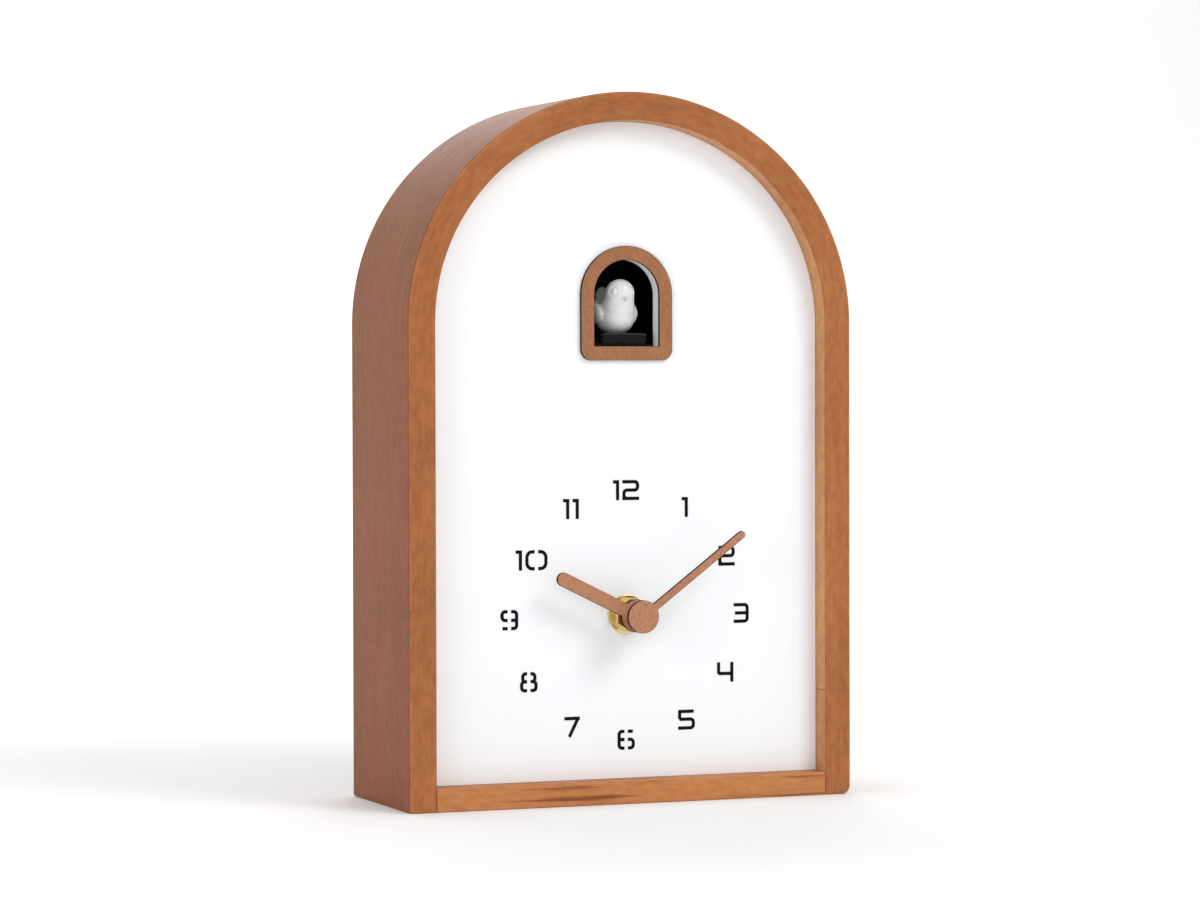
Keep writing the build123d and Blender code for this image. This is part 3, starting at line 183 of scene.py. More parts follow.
def make_light():
    """White studio, greyer to the left, with a key from the upper right and fills all round."""
    world = bpy.data.worlds.new("studio")
    bpy.context.scene.world = world
    world.use_nodes = True
    tree = world.node_tree
    sky = tree.nodes["Background"]
    ways = put(tree, "SeparateXYZ", {0: put(tree, "TexCoord").outputs["Generated"]}).outputs
    shade = remap(tree, ways[0], -0.9, 0.3, 0.0, 1.0)
    tree.links.new(blend(tree, shade, (0.42, 0.43, 0.45), (1.0, 1.0, 1.0)), sky.inputs["Color"])
    sky.inputs["Strength"].default_value = WORLD_STRENGTH
    for row in LIGHTS:
        area_light(*row)
    bpy.context.scene.view_settings.view_transform = "Standard"


# ---------------------------------------------------------------- node materials
def new_material(name):
    """Empty principled material: the material, its tree and its shader."""
    made = bpy.data.materials.new(name)
    made.use_nodes = True
    tree = made.node_tree
    tree.nodes.clear()
    shader = tree.nodes.new("ShaderNodeBsdfPrincipled")
    output = tree.nodes.new("ShaderNodeOutputMaterial")
    tree.links.new(shader.outputs["BSDF"], output.inputs["Surface"])
    return made, tree, shader


def put(tree, kind, inputs=None, **settings):
    """Adds a node; an input may be a value or another node's output."""
    node = tree.nodes.new("ShaderNode" + kind)
    for key, value in settings.items():
        setattr(node, key, value)
    for key, value in (inputs or {}).items():
        if isinstance(value, bpy.types.NodeSocket):
            tree.links.new(value, node.inputs[key])
        else:
            node.inputs[key].default_value = value
    return node


def maths(tree, operation, first, second=0.0):
    """Result of one sum; the second value is left out where the sum takes only one."""
    return put(tree, "Math", {0: first, 1: second}, operation=operation).outputs[0]


def place(tree):
    """Position in the piece's own frame, in metres."""
    return put(tree, "TexCoord").outputs["Object"]


def times(tree, vector, scale):
    """Vector or colour multiplied channel by channel."""
    return put(tree, "VectorMath", {0: vector, 1: scale}, operation="MULTIPLY").outputs[0]


def reach_of(tree, first, second):
    """Length of the vector with these two sides."""
    squares = [maths(tree, "MULTIPLY", side, side) for side in (first, second)]
    return maths(tree, "SQRT", maths(tree, "ADD", *squares))


def noise_at(tree, vector, scale, detail=3.0, roughness=0.55):
    """Noise in 0..1, with its own scale along each axis, in cycles per metre."""
    inputs = {"Vector": times(tree, vector, scale), "Scale": 1.0, "Detail": detail, "Roughness": roughness}
    return put(tree, "TexNoise", inputs).outputs["Fac"]


def remap(tree, value, low_in, high_in, low_out, high_out):
    """Value moved from one range to another, and held at its ends."""
    inputs = {0: value, 1: low_in, 2: high_in, 3: low_out, 4: high_out}
    return put(tree, "MapRange", inputs).outputs[0]


def blend(tree, factor, first, second):
    """Mix of two colours."""
    node = tree.nodes.new("ShaderNodeMix")
    node.data_type = "RGBA"
    for index, value in ((0, factor), (6, first), (7, second)):
        if isinstance(value, bpy.types.NodeSocket):
            tree.links.new(value, node.inputs[index])
        elif index == 0:
            node.inputs[index].default_value = value
        else:
            node.inputs[index].default_value = (*value, 1.0)
    return node.outputs[2]


def bump(tree, shader, height, distance, strength):
    """Relief of a height in 0..1 over a distance in metres."""
    node = put(tree, "Bump", {"Height": height, "Distance": distance, "Strength": strength})
    tree.links.new(node.outputs[0], shader.inputs["Normal"])


def along_arch(tree):
    """(distance from the arch's middle line, depth, distance along the bent wood)."""
    x, y, z = put(tree, "SeparateXYZ", {0: place(tree)}).outputs
    rise = maths(tree, "SUBTRACT", z, SPRING)
    above = maths(tree, "MAXIMUM", rise, 0.0)
    under = maths(tree, "MINIMUM", rise, 0.0)
    radius = reach_of(tree, x, above)
    turn = maths(tree, "ARCTAN2", x, above)
    side = maths(tree, "SIGN", x)
    bow = maths(tree, "MULTIPLY", turn, (OUTER_HALF + INNER_HALF) / 2)
    leg = maths(tree, "MULTIPLY", side, under)
    run = maths(tree, "SUBTRACT", bow, leg)
    return put(tree, "CombineXYZ", {0: radius, 1: y, 2: run}).outputs[0]


def along_x(tree):
    """(height, depth, distance along the board)."""
    x, y, z = put(tree, "SeparateXYZ", {0: place(tree)}).outputs
    return put(tree, "CombineXYZ", {0: z, 1: y, 2: x}).outputs[0]


def arch_walls(tree):
    """Masks of the darker outside, the outer edge for a painted highlight, the inside for painted bounce
    light from the dial, and the joint in its right leg.
    """
    x, y, z = put(tree, "SeparateXYZ", {0: place(tree)}).outputs
    above = maths(tree, "MAXIMUM", maths(tree, "SUBTRACT", z, SPRING), 0.0)
    tall = maths(tree, "MULTIPLY", above, OUTER_HALF / (HEIGHT - SPRING))
    reach = reach_of(tree, x, tall)
    behind = remap(tree, y, FRONT + 0.2 * MM, FRONT + 0.6 * MM, 0.0, 1.0)
    outside = remap(tree, reach, OUTER_HALF - 0.5 * MM, OUTER_HALF - 0.1 * MM, 0.0, 1.0)
    # The inner walls get painted bounce light from the white dial.
    inside = remap(tree, reach, INNER_HALF + 0.1 * MM, INNER_HALF + 0.4 * MM, 1.0, 0.0)
    inside = maths(tree, "MULTIPLY", inside, behind)
    # The lighter band on the rounded outer edges is a painted highlight.
    from_edge = maths(tree, "ABSOLUTE", maths(tree, "SUBTRACT", reach, OUTER_HALF - 0.45 * MM))
    edge = remap(tree, from_edge, 0.1 * MM, 0.5 * MM, 1.0, 0.0)
    from_joint = maths(tree, "ABSOLUTE", maths(tree, "SUBTRACT", z, JOINT_Z))
    joint = maths(tree, "MULTIPLY", inside, remap(tree, from_joint, 0.1 * MM, 0.35 * MM, 1.0, 0.0))
    return outside, edge, inside, maths(tree, "MULTIPLY", joint, maths(tree, "GREATER_THAN", x, 0.0))


def wood(name, light, dark, line, path=place, streaks=0.0, rough=0.5, ior=1.4, walls=None):
    """Stained wood; the grain runs along the third axis of the path, the tints follow arch_walls and paint a
    highlight on the outer edge and bounce light on the inside.
    """
    made, tree, shader = new_material(name)
    spot = path(tree)
    cloud = noise_at(tree, spot, (38, 30, 14), 3.0)
    mottle = noise_at(tree, spot, (420, 300, 170), 3.0, 0.6)
    fibre = noise_at(tree, spot, (900, 620, 24), 4.0, 0.62)
    fine = noise_at(tree, spot, (3200, 2400, 120), 2.0, 0.5)
    fleck = noise_at(tree, spot, (2600, 2100, 260), 2.0, 0.6)
    tone = remap(tree, cloud, 0.3, 0.7, 0.0, 0.42)
    tone = maths(tree, "ADD", tone, remap(tree, fibre, 0.3, 0.7, 0.0, 0.22))
    tone = maths(tree, "ADD", tone, remap(tree, mottle, 0.38, 0.62, 0.0, 0.36))
    colour = blend(tree, tone, dark, light)
    colour = blend(tree, remap(tree, fine, 0.35, 0.7, 0.0, 0.16), colour, light)
    colour = blend(tree, remap(tree, fleck, 0.58, 0.72, 0.0, 0.35), colour, line)
    if streaks:
        streak = noise_at(tree, spot, (420, 320, 16), 2.0, 0.5)
        colour = blend(tree, remap(tree, streak, 0.60, 0.70, 0.0, streaks), colour, line)
    # Tints over the arch_walls masks: a darker outside, a painted highlight on the outer edge, painted bounce
    # light from the dial on the inside, a dark joint.
    if walls:
        for mask, tint in zip(arch_walls(tree), walls):
            colour = blend(tree, mask, colour, times(tree, colour, tint))
    tree.links.new(colour, shader.inputs["Base Color"])
    tree.links.new(remap(tree, fibre, 0.2, 0.8, rough + 0.07, rough - 0.05), shader.inputs["Roughness"])
    shader.inputs["IOR"].default_value = ior
    shader.inputs["Specular IOR Level"].default_value = 0.25
    height = maths(tree, "SUBTRACT", maths(tree, "MULTIPLY", fibre, 0.6), maths(tree, "MULTIPLY", fleck, 0.5))
    bump(tree, shader, height, 0.06 * MM, 0.6)
    return made


def veneer(name, light, dark, line):
    """Thin sanded veneer with short, broken grain and fine speckle."""
    made, tree, shader = new_material(name)
    spot = place(tree)
    cloud = noise_at(tree, spot, (90, 90, 60), 2.0)
    dashes = noise_at(tree, spot, (1900, 900, 420), 3.0, 0.65)
    specks = noise_at(tree, spot, (2300, 2300, 2100), 3.0, 0.7)
    tone = remap(tree, cloud, 0.3, 0.7, 0.0, 0.3)
    tone = maths(tree, "ADD", tone, remap(tree, dashes, 0.35, 0.65, 0.0, 0.7))
    colour = blend(tree, tone, dark, light)
    colour = blend(tree, remap(tree, specks, 0.53, 0.66, 0.0, 0.75), colour, line)
    colour = blend(tree, remap(tree, specks, 0.46, 0.34, 0.0, 0.55), colour, light)
    tree.links.new(colour, shader.inputs["Base Color"])
    tree.links.new(remap(tree, specks, 0.2, 0.8, 0.68, 0.56), shader.inputs["Roughness"])
    shader.inputs["IOR"].default_value = 1.35
    bump(tree, shader, specks, 0.05 * MM, 0.5)
    return made


def plain(name, colour, rough, grit, relief, metal=0.0, spread=0.08, stretch=(1, 1, 1), ior=1.5):
    """Moulded, painted or metal surface: grit in cycles per metre, relief in millimetres."""
    made, tree, shader = new_material(name)
    spot = place(tree)
    cloud = noise_at(tree, spot, (60, 60, 60), 3.0)
    grain = noise_at(tree, spot, tuple(grit * part for part in stretch), 3.0, 0.6)
    darker = tuple(c * (1 - spread) for c in colour)
    tone = remap(tree, cloud, 0.3, 0.7, 0.0, 0.6)
    tone = maths(tree, "ADD", tone, remap(tree, grain, 0.3, 0.7, 0.0, 0.4))
    tree.links.new(blend(tree, tone, darker, colour), shader.inputs["Base Color"])
    tree.links.new(remap(tree, grain, 0.25, 0.75, rough * 0.88, rough * 1.12), shader.inputs["Roughness"])
    shader.inputs["Metallic"].default_value = metal
    shader.inputs["IOR"].default_value = ior
    bump(tree, shader, grain, relief * MM, 0.5)
    return made


def ringed(name, colour, rough, centre):
    """Turned metal with fine circles round a front-view point."""
    made, tree, shader = new_material(name)
    x, y, z = put(tree, "SeparateXYZ", {0: place(tree)}).outputs
    across = maths(tree, "SUBTRACT", x, centre[0])
    up = maths(tree, "SUBTRACT", z, centre[1])
    spot = put(tree, "CombineXYZ", {0: reach_of(tree, across, up), 1: y}).outputs[0]
    rings = noise_at(tree, spot, (9000, 4000, 1), 2.0)
    cloud = noise_at(tree, place(tree), (160, 160, 160), 2.0)
    darker = tuple(c * 0.8 for c in colour)
    tone = remap(tree, cloud, 0.3, 0.7, 0.0, 1.0)
    tree.links.new(blend(tree, tone, darker, colour), shader.inputs["Base Color"])
    tree.links.new(remap(tree, rings, 0.3, 0.7, rough * 0.8, rough * 1.3), shader.inputs["Roughness"])
    shader.inputs["Metallic"].default_value = 1.0
    bump(tree, shader, rings, 0.004 * MM, 0.4)
    return made


def make_materials():
    """Every material, by the record's slot name or by its own name."""
    rim_light, rim_dark, rim_line = (0.43, 0.164, 0.056), (0.256, 0.080, 0.025), (0.13, 0.034, 0.010)
    board_light, board_dark, board_line = (0.55, 0.230, 0.084), (0.39, 0.140, 0.043), (0.17, 0.046, 0.015)
    thin_light, thin_dark, thin_line = (0.39, 0.172, 0.078), (0.25, 0.096, 0.038), (0.10, 0.033, 0.014)
    # Tints of the arch: darker outside, painted highlight on the outer edge, painted bounce light on the
    # inside, dark joint.
    wall_tints_and_painted_light = ((0.73, 0.62, 0.54), (1.22, 1.28, 1.35), (1.55, 2.05, 2.6), (0.5, 0.42, 0.4))
    black, copper = (0.004, 0.004, 0.0045), (0.72, 0.26, 0.10)
    return {
        "stained_wood": wood("stained_wood", rim_light, rim_dark, rim_line, along_arch, walls=wall_tints_and_painted_light),
        "board_wood": wood("board_wood", board_light, board_dark, board_line, along_x, streaks=0.8),
        "trim_wood": veneer("trim_wood", thin_light, thin_dark, thin_line),
        "hand_wood": veneer("hand_wood", (0.51, 0.245, 0.135), (0.33, 0.140, 0.070), (0.13, 0.048, 0.024)),
        "laser_edge": plain("laser_edge", (0.022, 0.012, 0.008), 0.8, 1400, 0.05, spread=0.4, ior=1.25),
        "dial_white": plain("dial_white", (0.85, 0.865, 0.885), 0.62, 1800, 0.012, spread=0.012),
        "ink_black": plain("ink_black", (0.003, 0.003, 0.0035), 0.7, 3500, 0.01, spread=0.3, ior=1.2),
        "brass": ringed("brass", (0.80, 0.63, 0.30), 0.17, (0.0, HAND_Z)),
        "steel": plain("steel", (0.62, 0.62, 0.63), 0.3, 700, 0.01, 1.0, 0.15, (1, 1, 0.06)),
        "iron_sheet": plain("iron_sheet", (0.40, 0.40, 0.41), 0.42, 500, 0.015, 1.0, 0.2),
        "black_plastic": plain("black_plastic", black, 0.22, 600, 0.006, spread=0.3, ior=1.3),
        "black_matt": plain("black_matt", (0.007, 0.007, 0.008), 0.5, 1800, 0.03, spread=0.3, ior=1.35),
        "bird_white": plain("bird_white", (0.70, 0.70, 0.685), 0.36, 260, 0.02, spread=0.03),
        "movement_black": plain("movement_black", (0.02, 0.02, 0.021), 0.55, 1500, 0.03, spread=0.25),
        "gear_plastic": plain("gear_plastic", (0.75, 0.72, 0.64), 0.4, 800, 0.01, spread=0.05),
        "gear_orange": plain("gear_orange", (0.70, 0.22, 0.04), 0.4, 800, 0.01, spread=0.1),
        "copper_winding": plain("copper_winding", copper, 0.3, 9000, 0.05, 1.0, 0.35, (1, 0.05, 0.05)),
        "board_green": plain("board_green", (0.015, 0.12, 0.05), 0.35, 500, 0.02, spread=0.35),
        "chip_black": plain("chip_black", (0.02, 0.02, 0.02), 0.5, 2500, 0.02, spread=0.3),
        "rubber": plain("rubber", (0.02, 0.02, 0.02), 0.8, 1800, 0.03, spread=0.3),
        "pine": wood("pine", (0.72, 0.50, 0.28), (0.58, 0.36, 0.18), (0.40, 0.22, 0.10), rough=0.7, ior=1.35),
        "back_black": plain("back_black", (0.022, 0.022, 0.023), 0.55, 2600, 0.06, spread=0.3),
        "zinc_screw": plain("zinc_screw", (0.60, 0.60, 0.61), 0.26, 1500, 0.01, 1.0, 0.2),
        "knob_black": plain("knob_black", (0.025, 0.025, 0.026), 0.42, 1800, 0.03, spread=0.3),
        "paper_cone": plain("paper_cone", (0.03, 0.03, 0.03), 0.85, 1200, 0.08, spread=0.4),
        "magnet": plain("magnet", (0.08, 0.08, 0.085), 0.6, 900, 0.04, spread=0.3),
        "cell_wrap": plain("cell_wrap", (0.05, 0.09, 0.19), 0.25, 400, 0.01, spread=0.2),
        "nickel": plain("nickel", (0.72, 0.70, 0.66), 0.18, 900, 0.008, 1.0, 0.1),
        "wire": plain("wire", (0.42, 0.02, 0.02), 0.5, 900, 0.02, spread=0.2),
        "sensor_lens": sensor_glass(),
    }


def sensor_glass():
    """Clear dome with slight ripples."""
    made, tree, shader = new_material("sensor_lens")
    ripple = noise_at(tree, place(tree), (500, 500, 500), 2.0)
    tint = blend(tree, remap(tree, ripple, 0.3, 0.7, 0.0, 1.0), (0.70, 0.74, 0.78), (0.82, 0.85, 0.88))
    tree.links.new(tint, shader.inputs["Base Color"])
    shader.inputs["Roughness"].default_value = 0.06
    shader.inputs["Transmission Weight"].default_value = 0.85
    bump(tree, shader, ripple, 0.02 * MM, 0.3)
    return made


# ---------------------------------------------------------------- outlines, front view
def arc(centre, radius, start, stop, steps):
    """Points on an arc, angles in degrees, both ends included."""
    turns = [math.radians(start + (stop - start) * k / steps) for k in range(steps + 1)]
    return [(centre[0] + radius * math.cos(t), centre[1] + radius * math.sin(t)) for t in turns]


def circle(centre, radius, steps=48):
    return arc(centre, radius, 0, 360, steps)[:-1]


def arch(half, bottom, spring, corner=0.0):
    """Anticlockwise outline with a round head; its lower corners may be rounded."""
    if corner:
        points = arc((corner - half, bottom + corner), corner, 180, 270, 8)
        points += arc((half - corner, bottom + corner), corner, 270, 360, 8)
    else:
        points = [(-half, bottom), (half, bottom)]
    return points + [(x, spring + z) for x, z in arc((0, 0), half, 0, 180, 64)]


def rounded(left, right, bottom, top, corner, steps=6):
    """Anticlockwise rectangle with rounded corners."""
    points = arc((left + corner, bottom + corner), corner, 180, 270, steps)
    points += arc((right - corner, bottom + corner), corner, 270, 360, steps)
    points += arc((right - corner, top - corner), corner, 0, 90, steps)
    return points + arc((left + corner, top - corner), corner, 90, 180, steps)


def inset(points, depth):
    """Moves an anticlockwise outline inwards; a clockwise one grows."""
    moved = []
    count = len(points)
    for k, point in enumerate(points):
        here = Vector(point)
        before = (here - Vector(points[k - 1])).normalized()
        after = (Vector(points[(k + 1) % count]) - here).normalized()
        inward = Vector((-before.y - after.y, before.x + after.x))
        moved.append(here + inward * depth / (1 + max(before.dot(after), -0.5)))
    return moved


# ---------------------------------------------------------------- mesh helpers
def make_object(name, mesh, materials, smooth_angle=35):
    """Links a smooth-shaded mesh whose flat faces keep flat normals."""
    for item in materials:
        mesh.materials.append(item)
    mesh.polygons.foreach_set("use_smooth", [True] * len(mesh.polygons))
    mesh.set_sharp_from_angle(angle=math.radians(smooth_angle))
    piece = bpy.data.objects.new(name, mesh)
    bpy.context.scene.collection.objects.link(piece)
    shading = piece.modifiers.new("flat_faces", "WEIGHTED_NORMAL")
    shading.keep_sharp = True
    return piece


def to_mesh(bm, name):
    """Mesh of a finished bmesh, which is then freed."""
    mesh = bpy.data.meshes.new(name)
    bm.to_mesh(mesh)
    bm.free()
    return mesh


def join_rings(bm, rings):
    """Adds and returns the faces between neighbouring closed rings."""
    faces = []
    for first, second in zip(rings, rings[1:]):
        for k in range(len(first)):
            nxt = (k + 1) % len(first)
            faces.append(bm.faces.new((first[k], first[nxt], second[nxt], second[k])))
    return faces


def slab_into(bm, outer, holes, front, back, round_front, round_back, steps=4):
    """Adds a plate with rounded edges; walls get the second material, faces the first."""
    rows = []
    for k in range(steps + 1):
        turn = math.pi / 2 * k / steps
        rows.append((round_front * (1 - math.sin(turn)), front + round_front * (1 - math.cos(turn))))
    for k in range(steps + 1):
        turn = math.pi / 2 * k / steps
        rows.append((round_back * (1 - math.cos(turn)), back - round_back * (1 - math.sin(turn))))
    ends = {0: [], len(rows) - 1: []}
    for loop in [outer] + [list(reversed(hole)) for hole in holes]:
        rings = []
        for depth, y in rows:
            rings.append([bm.verts.new((p[0], y, p[1])) for p in inset(loop, depth)])
        for face in join_rings(bm, rings):
            face.material_index = 1
        for row in ends:
            ring = rings[row]
            for k in range(len(ring)):
                ends[row].append(bm.edges.get((ring[k], ring[(k + 1) % len(ring)])))
    for edges in ends.values():
        bmesh.ops.triangle_fill(bm, use_beauty=True, edges=edges)


def slab(name, outer, holes, front, back, soft, face, wall=None):
    """Plate with edges rounded by a soft radius as one piece, with its face and wall materials."""
    bm = bmesh.new()
    slab_into(bm, outer, holes, front, back, soft, soft)
    bmesh.ops.recalc_face_normals(bm, faces=bm.faces)
    return make_object(name, to_mesh(bm, name), [face, wall or face])


def lathe(name, profile, centre, material, steps):
    """Turned ring as one piece; the profile is (radius, depth), and closes on itself."""
    bm = bmesh.new()
    rings = []
    for radius, y in profile + [profile[0]]:
        rings.append([bm.verts.new((p[0], y, p[1])) for p in circle(centre, radius, steps)])
    join_rings(bm, rings)
    bmesh.ops.remove_doubles(bm, verts=bm.verts, dist=1e-7)
    bmesh.ops.recalc_face_normals(bm, faces=bm.faces)
    return make_object(name, to_mesh(bm, name), [material])


def settle(piece, body, slot, *replaced):
    """Rides a new piece on its body and hides what it stands for; its slot is not used."""
    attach(piece, body)
    if replaced:
        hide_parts(*replaced)
    return piece


# ---------------------------------------------------------------- case and dial
def head_points(inset_by, start, stop, steps=128):
    """Points on the oval head of the case, moved inwards by the inset."""
    half, rise = OUTER_HALF - inset_by, HEIGHT - SPRING - inset_by
    return [(x * half, SPRING + z * rise) for x, z in arc((0, 0), 1, start, stop, steps)]


def make_case(paint):
    """Bent arch with its legs; the right foot is rounder than the left."""
    outline = [(-INNER_HALF, 0.0)] + head_points(WALL, 180, 0) + [(INNER_HALF, 0.0)]
    outline += arc((OUTER_HALF - FOOT_RIGHT, FOOT_RIGHT), FOOT_RIGHT, -90, 0, 8)
    outline += head_points(0, 0, 180)
    outline += arc((FOOT_LEFT - OUTER_HALF, FOOT_LEFT), FOOT_LEFT, 180, 270, 6)
    piece = slab("case_wood", outline, [], FRONT, BACK, EDGE_ROUND, paint["stained_wood"])
    settle(piece, "case", "stained_wood", "case_arch")


def make_board(paint):
    """Bottom board with rounded long edges and tight ends."""
    half = high("bottom_board").x

    def length(edge):
        return abs(edge.verts[0].co.x - edge.verts[1].co.x)

    bm = bmesh.new()
    bmesh.ops.create_cube(bm, size=1)
    size = Vector((2 * half, BACK - FRONT, BOARD_TOP))
    middle = Vector((0, (FRONT + BACK) / 2, BOARD_TOP / 2))
    fitted = Matrix.Translation(middle) @ Matrix.Diagonal(size).to_4x4()
    bmesh.ops.transform(bm, verts=bm.verts, matrix=fitted)
    ends = [edge for edge in bm.edges if length(edge) <= half]
    bmesh.ops.bevel(bm, geom=ends, offset=END_ROUND, segments=2, affect="EDGES", profile=0.5)
    sides = [edge for edge in bm.edges if length(edge) > 1.9 * half]
    bmesh.ops.bevel(bm, geom=sides, offset=EDGE_ROUND, segments=4, affect="EDGES", profile=0.5)
    piece = make_object("base_board", to_mesh(bm, "base_board"), [paint["board_wood"]])
    settle(piece, "case", "stained_wood", "bottom_board")


def make_dial(paint):
    """White board with the window's opening and the bore of the bush."""
    outline = [(SEAM - INNER_HALF, BOARD_TOP + SEAM), (INNER_HALF - SEAM, BOARD_TOP + SEAM)]
    outline += head_points(WALL + SEAM, 0, 180)
    window = arch(WINDOW_R + HOLE_PLAY, SILL - HOLE_PLAY, WINDOW_Z)
    bore = circle((0, HAND_Z), DIAL_BORE)
    piece = slab("dial_board", outline, [window, bore], DIAL_Y, DIAL_BACK, 0.2 * MM, paint["dial_white"])
    settle(piece, "case", "dial_white", "dial_panel")


def make_trim(paint):
    """Thin frame round the window with dark laser-cut walls."""
    outer = arch(TRIM_R, TRIM_LOW, WINDOW_Z, TRIM_CORNER)
    inner = arch(WINDOW_R, SILL, WINDOW_Z)
    looks = (paint["trim_wood"], paint["laser_edge"])
    piece = slab("window_frame", outer, [inner], TRIM_Y, DIAL_Y, 0.12 * MM, *looks)
    settle(piece, "case", "trim_wood", "window_trim")


# ---------------------------------------------------------------- hands
def make_hand(paint, name, node, length, width, disc, angle):
    """Round-ended hand; its own Z axis points along it, so the grain does too."""
    half = math.degrees(math.asin(width / 2 / disc))
    outline = arc((0, 0), disc, 90 + half, 450 - half, 56)
    outline += arc((0, length - width / 2), width / 2, 0, 180, 16)
    front, back = low(node).y, high(node).y
    piece = slab(name, outline, [], front, back, 0.14 * MM, paint["hand_wood"], paint["laser_edge"])
    turn = Matrix.Rotation(math.radians(angle), 4, "Y")
    piece.matrix_world = Matrix.Translation((0, 0, HAND_Z)) @ turn
    return piece


def make_hands(paint):
    for name, node, body, sizes in HANDS:
        settle(make_hand(paint, name, node, *sizes), body, "trim_wood", node)


def make_washer(paint):
    """Brass washer with a rounded rim in front of the dial."""
    front, back = low("dial_washer").y, high("dial_washer").y
    rim, soft, chamfer = high("dial_washer").x, 0.35 * MM, 0.1 * MM
    profile = [(DIAL_BORE, back), (DIAL_BORE, front + chamfer), (DIAL_BORE + chamfer, front)]
    for k in range(6):
        turn = math.pi / 2 * k / 5
        profile.append((rim - soft + soft * math.sin(turn), front + soft - soft * math.cos(turn)))
    profile.append((rim, back))
    washer = lathe("washer_ring", profile, (0, HAND_Z), paint["brass"], 96)
    settle(washer, "case", "brass", "dial_washer")


def make_nut(paint):
    """Six-sided nut; extra points keep its flats flat where the edges are rounded."""
    front, back = low("hand_nut").y, high("hand_nut").y
    centre = (0, HAND_Z)
    corners = [Vector(point) for point in arc(centre, high("hand_nut").z - HAND_Z, 30, 330, 5)]
    hexagon = []
    for k in range(6):
        first, second = corners[k], corners[(k + 1) % 6]
        hexagon += [tuple(first.lerp(second, t)) for t in (0.03, 0.2, 0.4, 0.6, 0.8, 0.97)]
    nut = slab("nut_hex", hexagon, [circle(centre, BUSH_CREST)], front, back, 0.35 * MM, paint["brass"])
    settle(nut, "case", "brass", "hand_nut")


def make_bush(paint):
    """Bush with thread ridges, which are rings rather than a helix."""
    front, back = low("threaded_bush").y, high("threaded_bush").y
    profile = [(BUSH_CORE, back), (BUSH_CORE, front + 0.2 * MM), (BUSH_CORE + 0.2 * MM, front)]
    profile.append((BUSH_CREST - 0.4 * MM, front))
    y = front + 0.3 * MM
    while y < DIAL_BACK:
        profile += [(BUSH_CREST - 0.28 * MM, y), (BUSH_CREST, y + THREAD_PITCH / 2)]
        y += THREAD_PITCH
    profile.append((BUSH_CREST, back))
    bush = lathe("bush_tube", profile, (0, HAND_Z), paint["brass"], 48)
    settle(bush, "case", "brass", "threaded_bush")


# ---------------------------------------------------------------- bird
def ball(radii, at, tilt, roll):
    """Stretched ball in millimetres, tilted about X and rolled about Y, in degrees."""
    bm = bmesh.new()
    bmesh.ops.create_icosphere(bm, subdivisions=4, radius=1)
    turn = Matrix.Rotation(math.radians(tilt), 4, "X") @ Matrix.Rotation(math.radians(roll), 4, "Y")
    place_at = Matrix.Translation(at) @ turn @ Matrix.Diagonal(Vector(radii)).to_4x4()
    bmesh.ops.transform(bm, verts=bm.verts, matrix=place_at)
    return to_mesh(bm, "ball")


def hump(distance, width):
    """1 at no distance, fading out over the width."""
    return math.exp(-((distance / width) ** 2))


def carve_bird(point):
    """Shift along the normal, in millimetres, for the eyes, brows, beak and wing edges."""
    shift = 0.0
    for side in (-1, 1):
        eye = Vector((side * 4.3, -25.8, 17.3))
        shift += 0.42 * hump((point - eye).length, 0.85)
        around = (point - eye - Vector((side * 0.35, 0.3, 0.15))).length
        shift -= 0.38 * hump(around - 1.75, 0.5)
        across = point.y + 13.0
        wing_low = 6.0 + 0.12 * across + 0.03 * across * across * (1 if across < 0 else 0.4)
        if side * point.x > 4.5 and -21.5 < point.y < -1.0:
            shift -= 0.3 * hump(point.z - wing_low, 0.55)
            for feather in (8.2, 10.2):
                if across > -1.5:
                    shift -= 0.16 * hump(point.z - (feather + 0.30 * across), 0.3)
    if abs(point.x) < 1.7 and point.y < -26.0:
        shift -= 0.25 * hump(point.z - 14.25, 0.22)
    return shift + 0.03 * noise.noise(point * 0.6)


def make_bird(paint):
    """Bird of fused and smoothed balls, with its details carved in, standing on the sled."""
    bm = bmesh.new()
    for row in BIRD_BALLS:
        shape = ball(*row)
        bm.from_mesh(shape)
        bpy.data.meshes.remove(shape)
    rough = bpy.data.objects.new("bird_rough", to_mesh(bm, "bird_rough"))
    bpy.context.scene.collection.objects.link(rough)
    fuse = rough.modifiers.new("fuse", "REMESH")
    fuse.mode = "VOXEL"
    fuse.voxel_size = BIRD_VOXEL
    ease = rough.modifiers.new("ease", "SMOOTH")
    ease.factor, ease.iterations = BIRD_EASE, BIRD_EASE_STEPS
    settled = rough.evaluated_get(bpy.context.evaluated_depsgraph_get())
    fused = bpy.data.meshes.new_from_object(settled)
    bpy.data.objects.remove(rough)
    moves = [vertex.co + vertex.normal * carve_bird(vertex.co) for vertex in fused.vertices]
    foot = high("bird_sled").z
    for vertex, spot in zip(fused.vertices, moves):
        spot.z = max(spot.z, 0.02)
        vertex.co = spot * MM + Vector((0, 0, foot))
    fused.name = "bird_figure"
    piece = make_object("bird_figure", fused, [paint["bird_white"]], 180)
    settle(piece, "bird_slide", "bird_white", "bird")


# ---------------------------------------------------------------- back
def middle_of(node):
    """Middle of a node in the front view."""
    return ((low(node).x + high(node).x) / 2, (low(node).z + high(node).z) / 2)


def mesh_from(build, *details):
    """Mesh that a function draws into a new bmesh."""
    bm = bmesh.new()
    build(bm, *details)
    bmesh.ops.remove_doubles(bm, verts=bm.verts, dist=1e-7)
    bmesh.ops.recalc_face_normals(bm, faces=bm.faces)
    return to_mesh(bm, "shape")


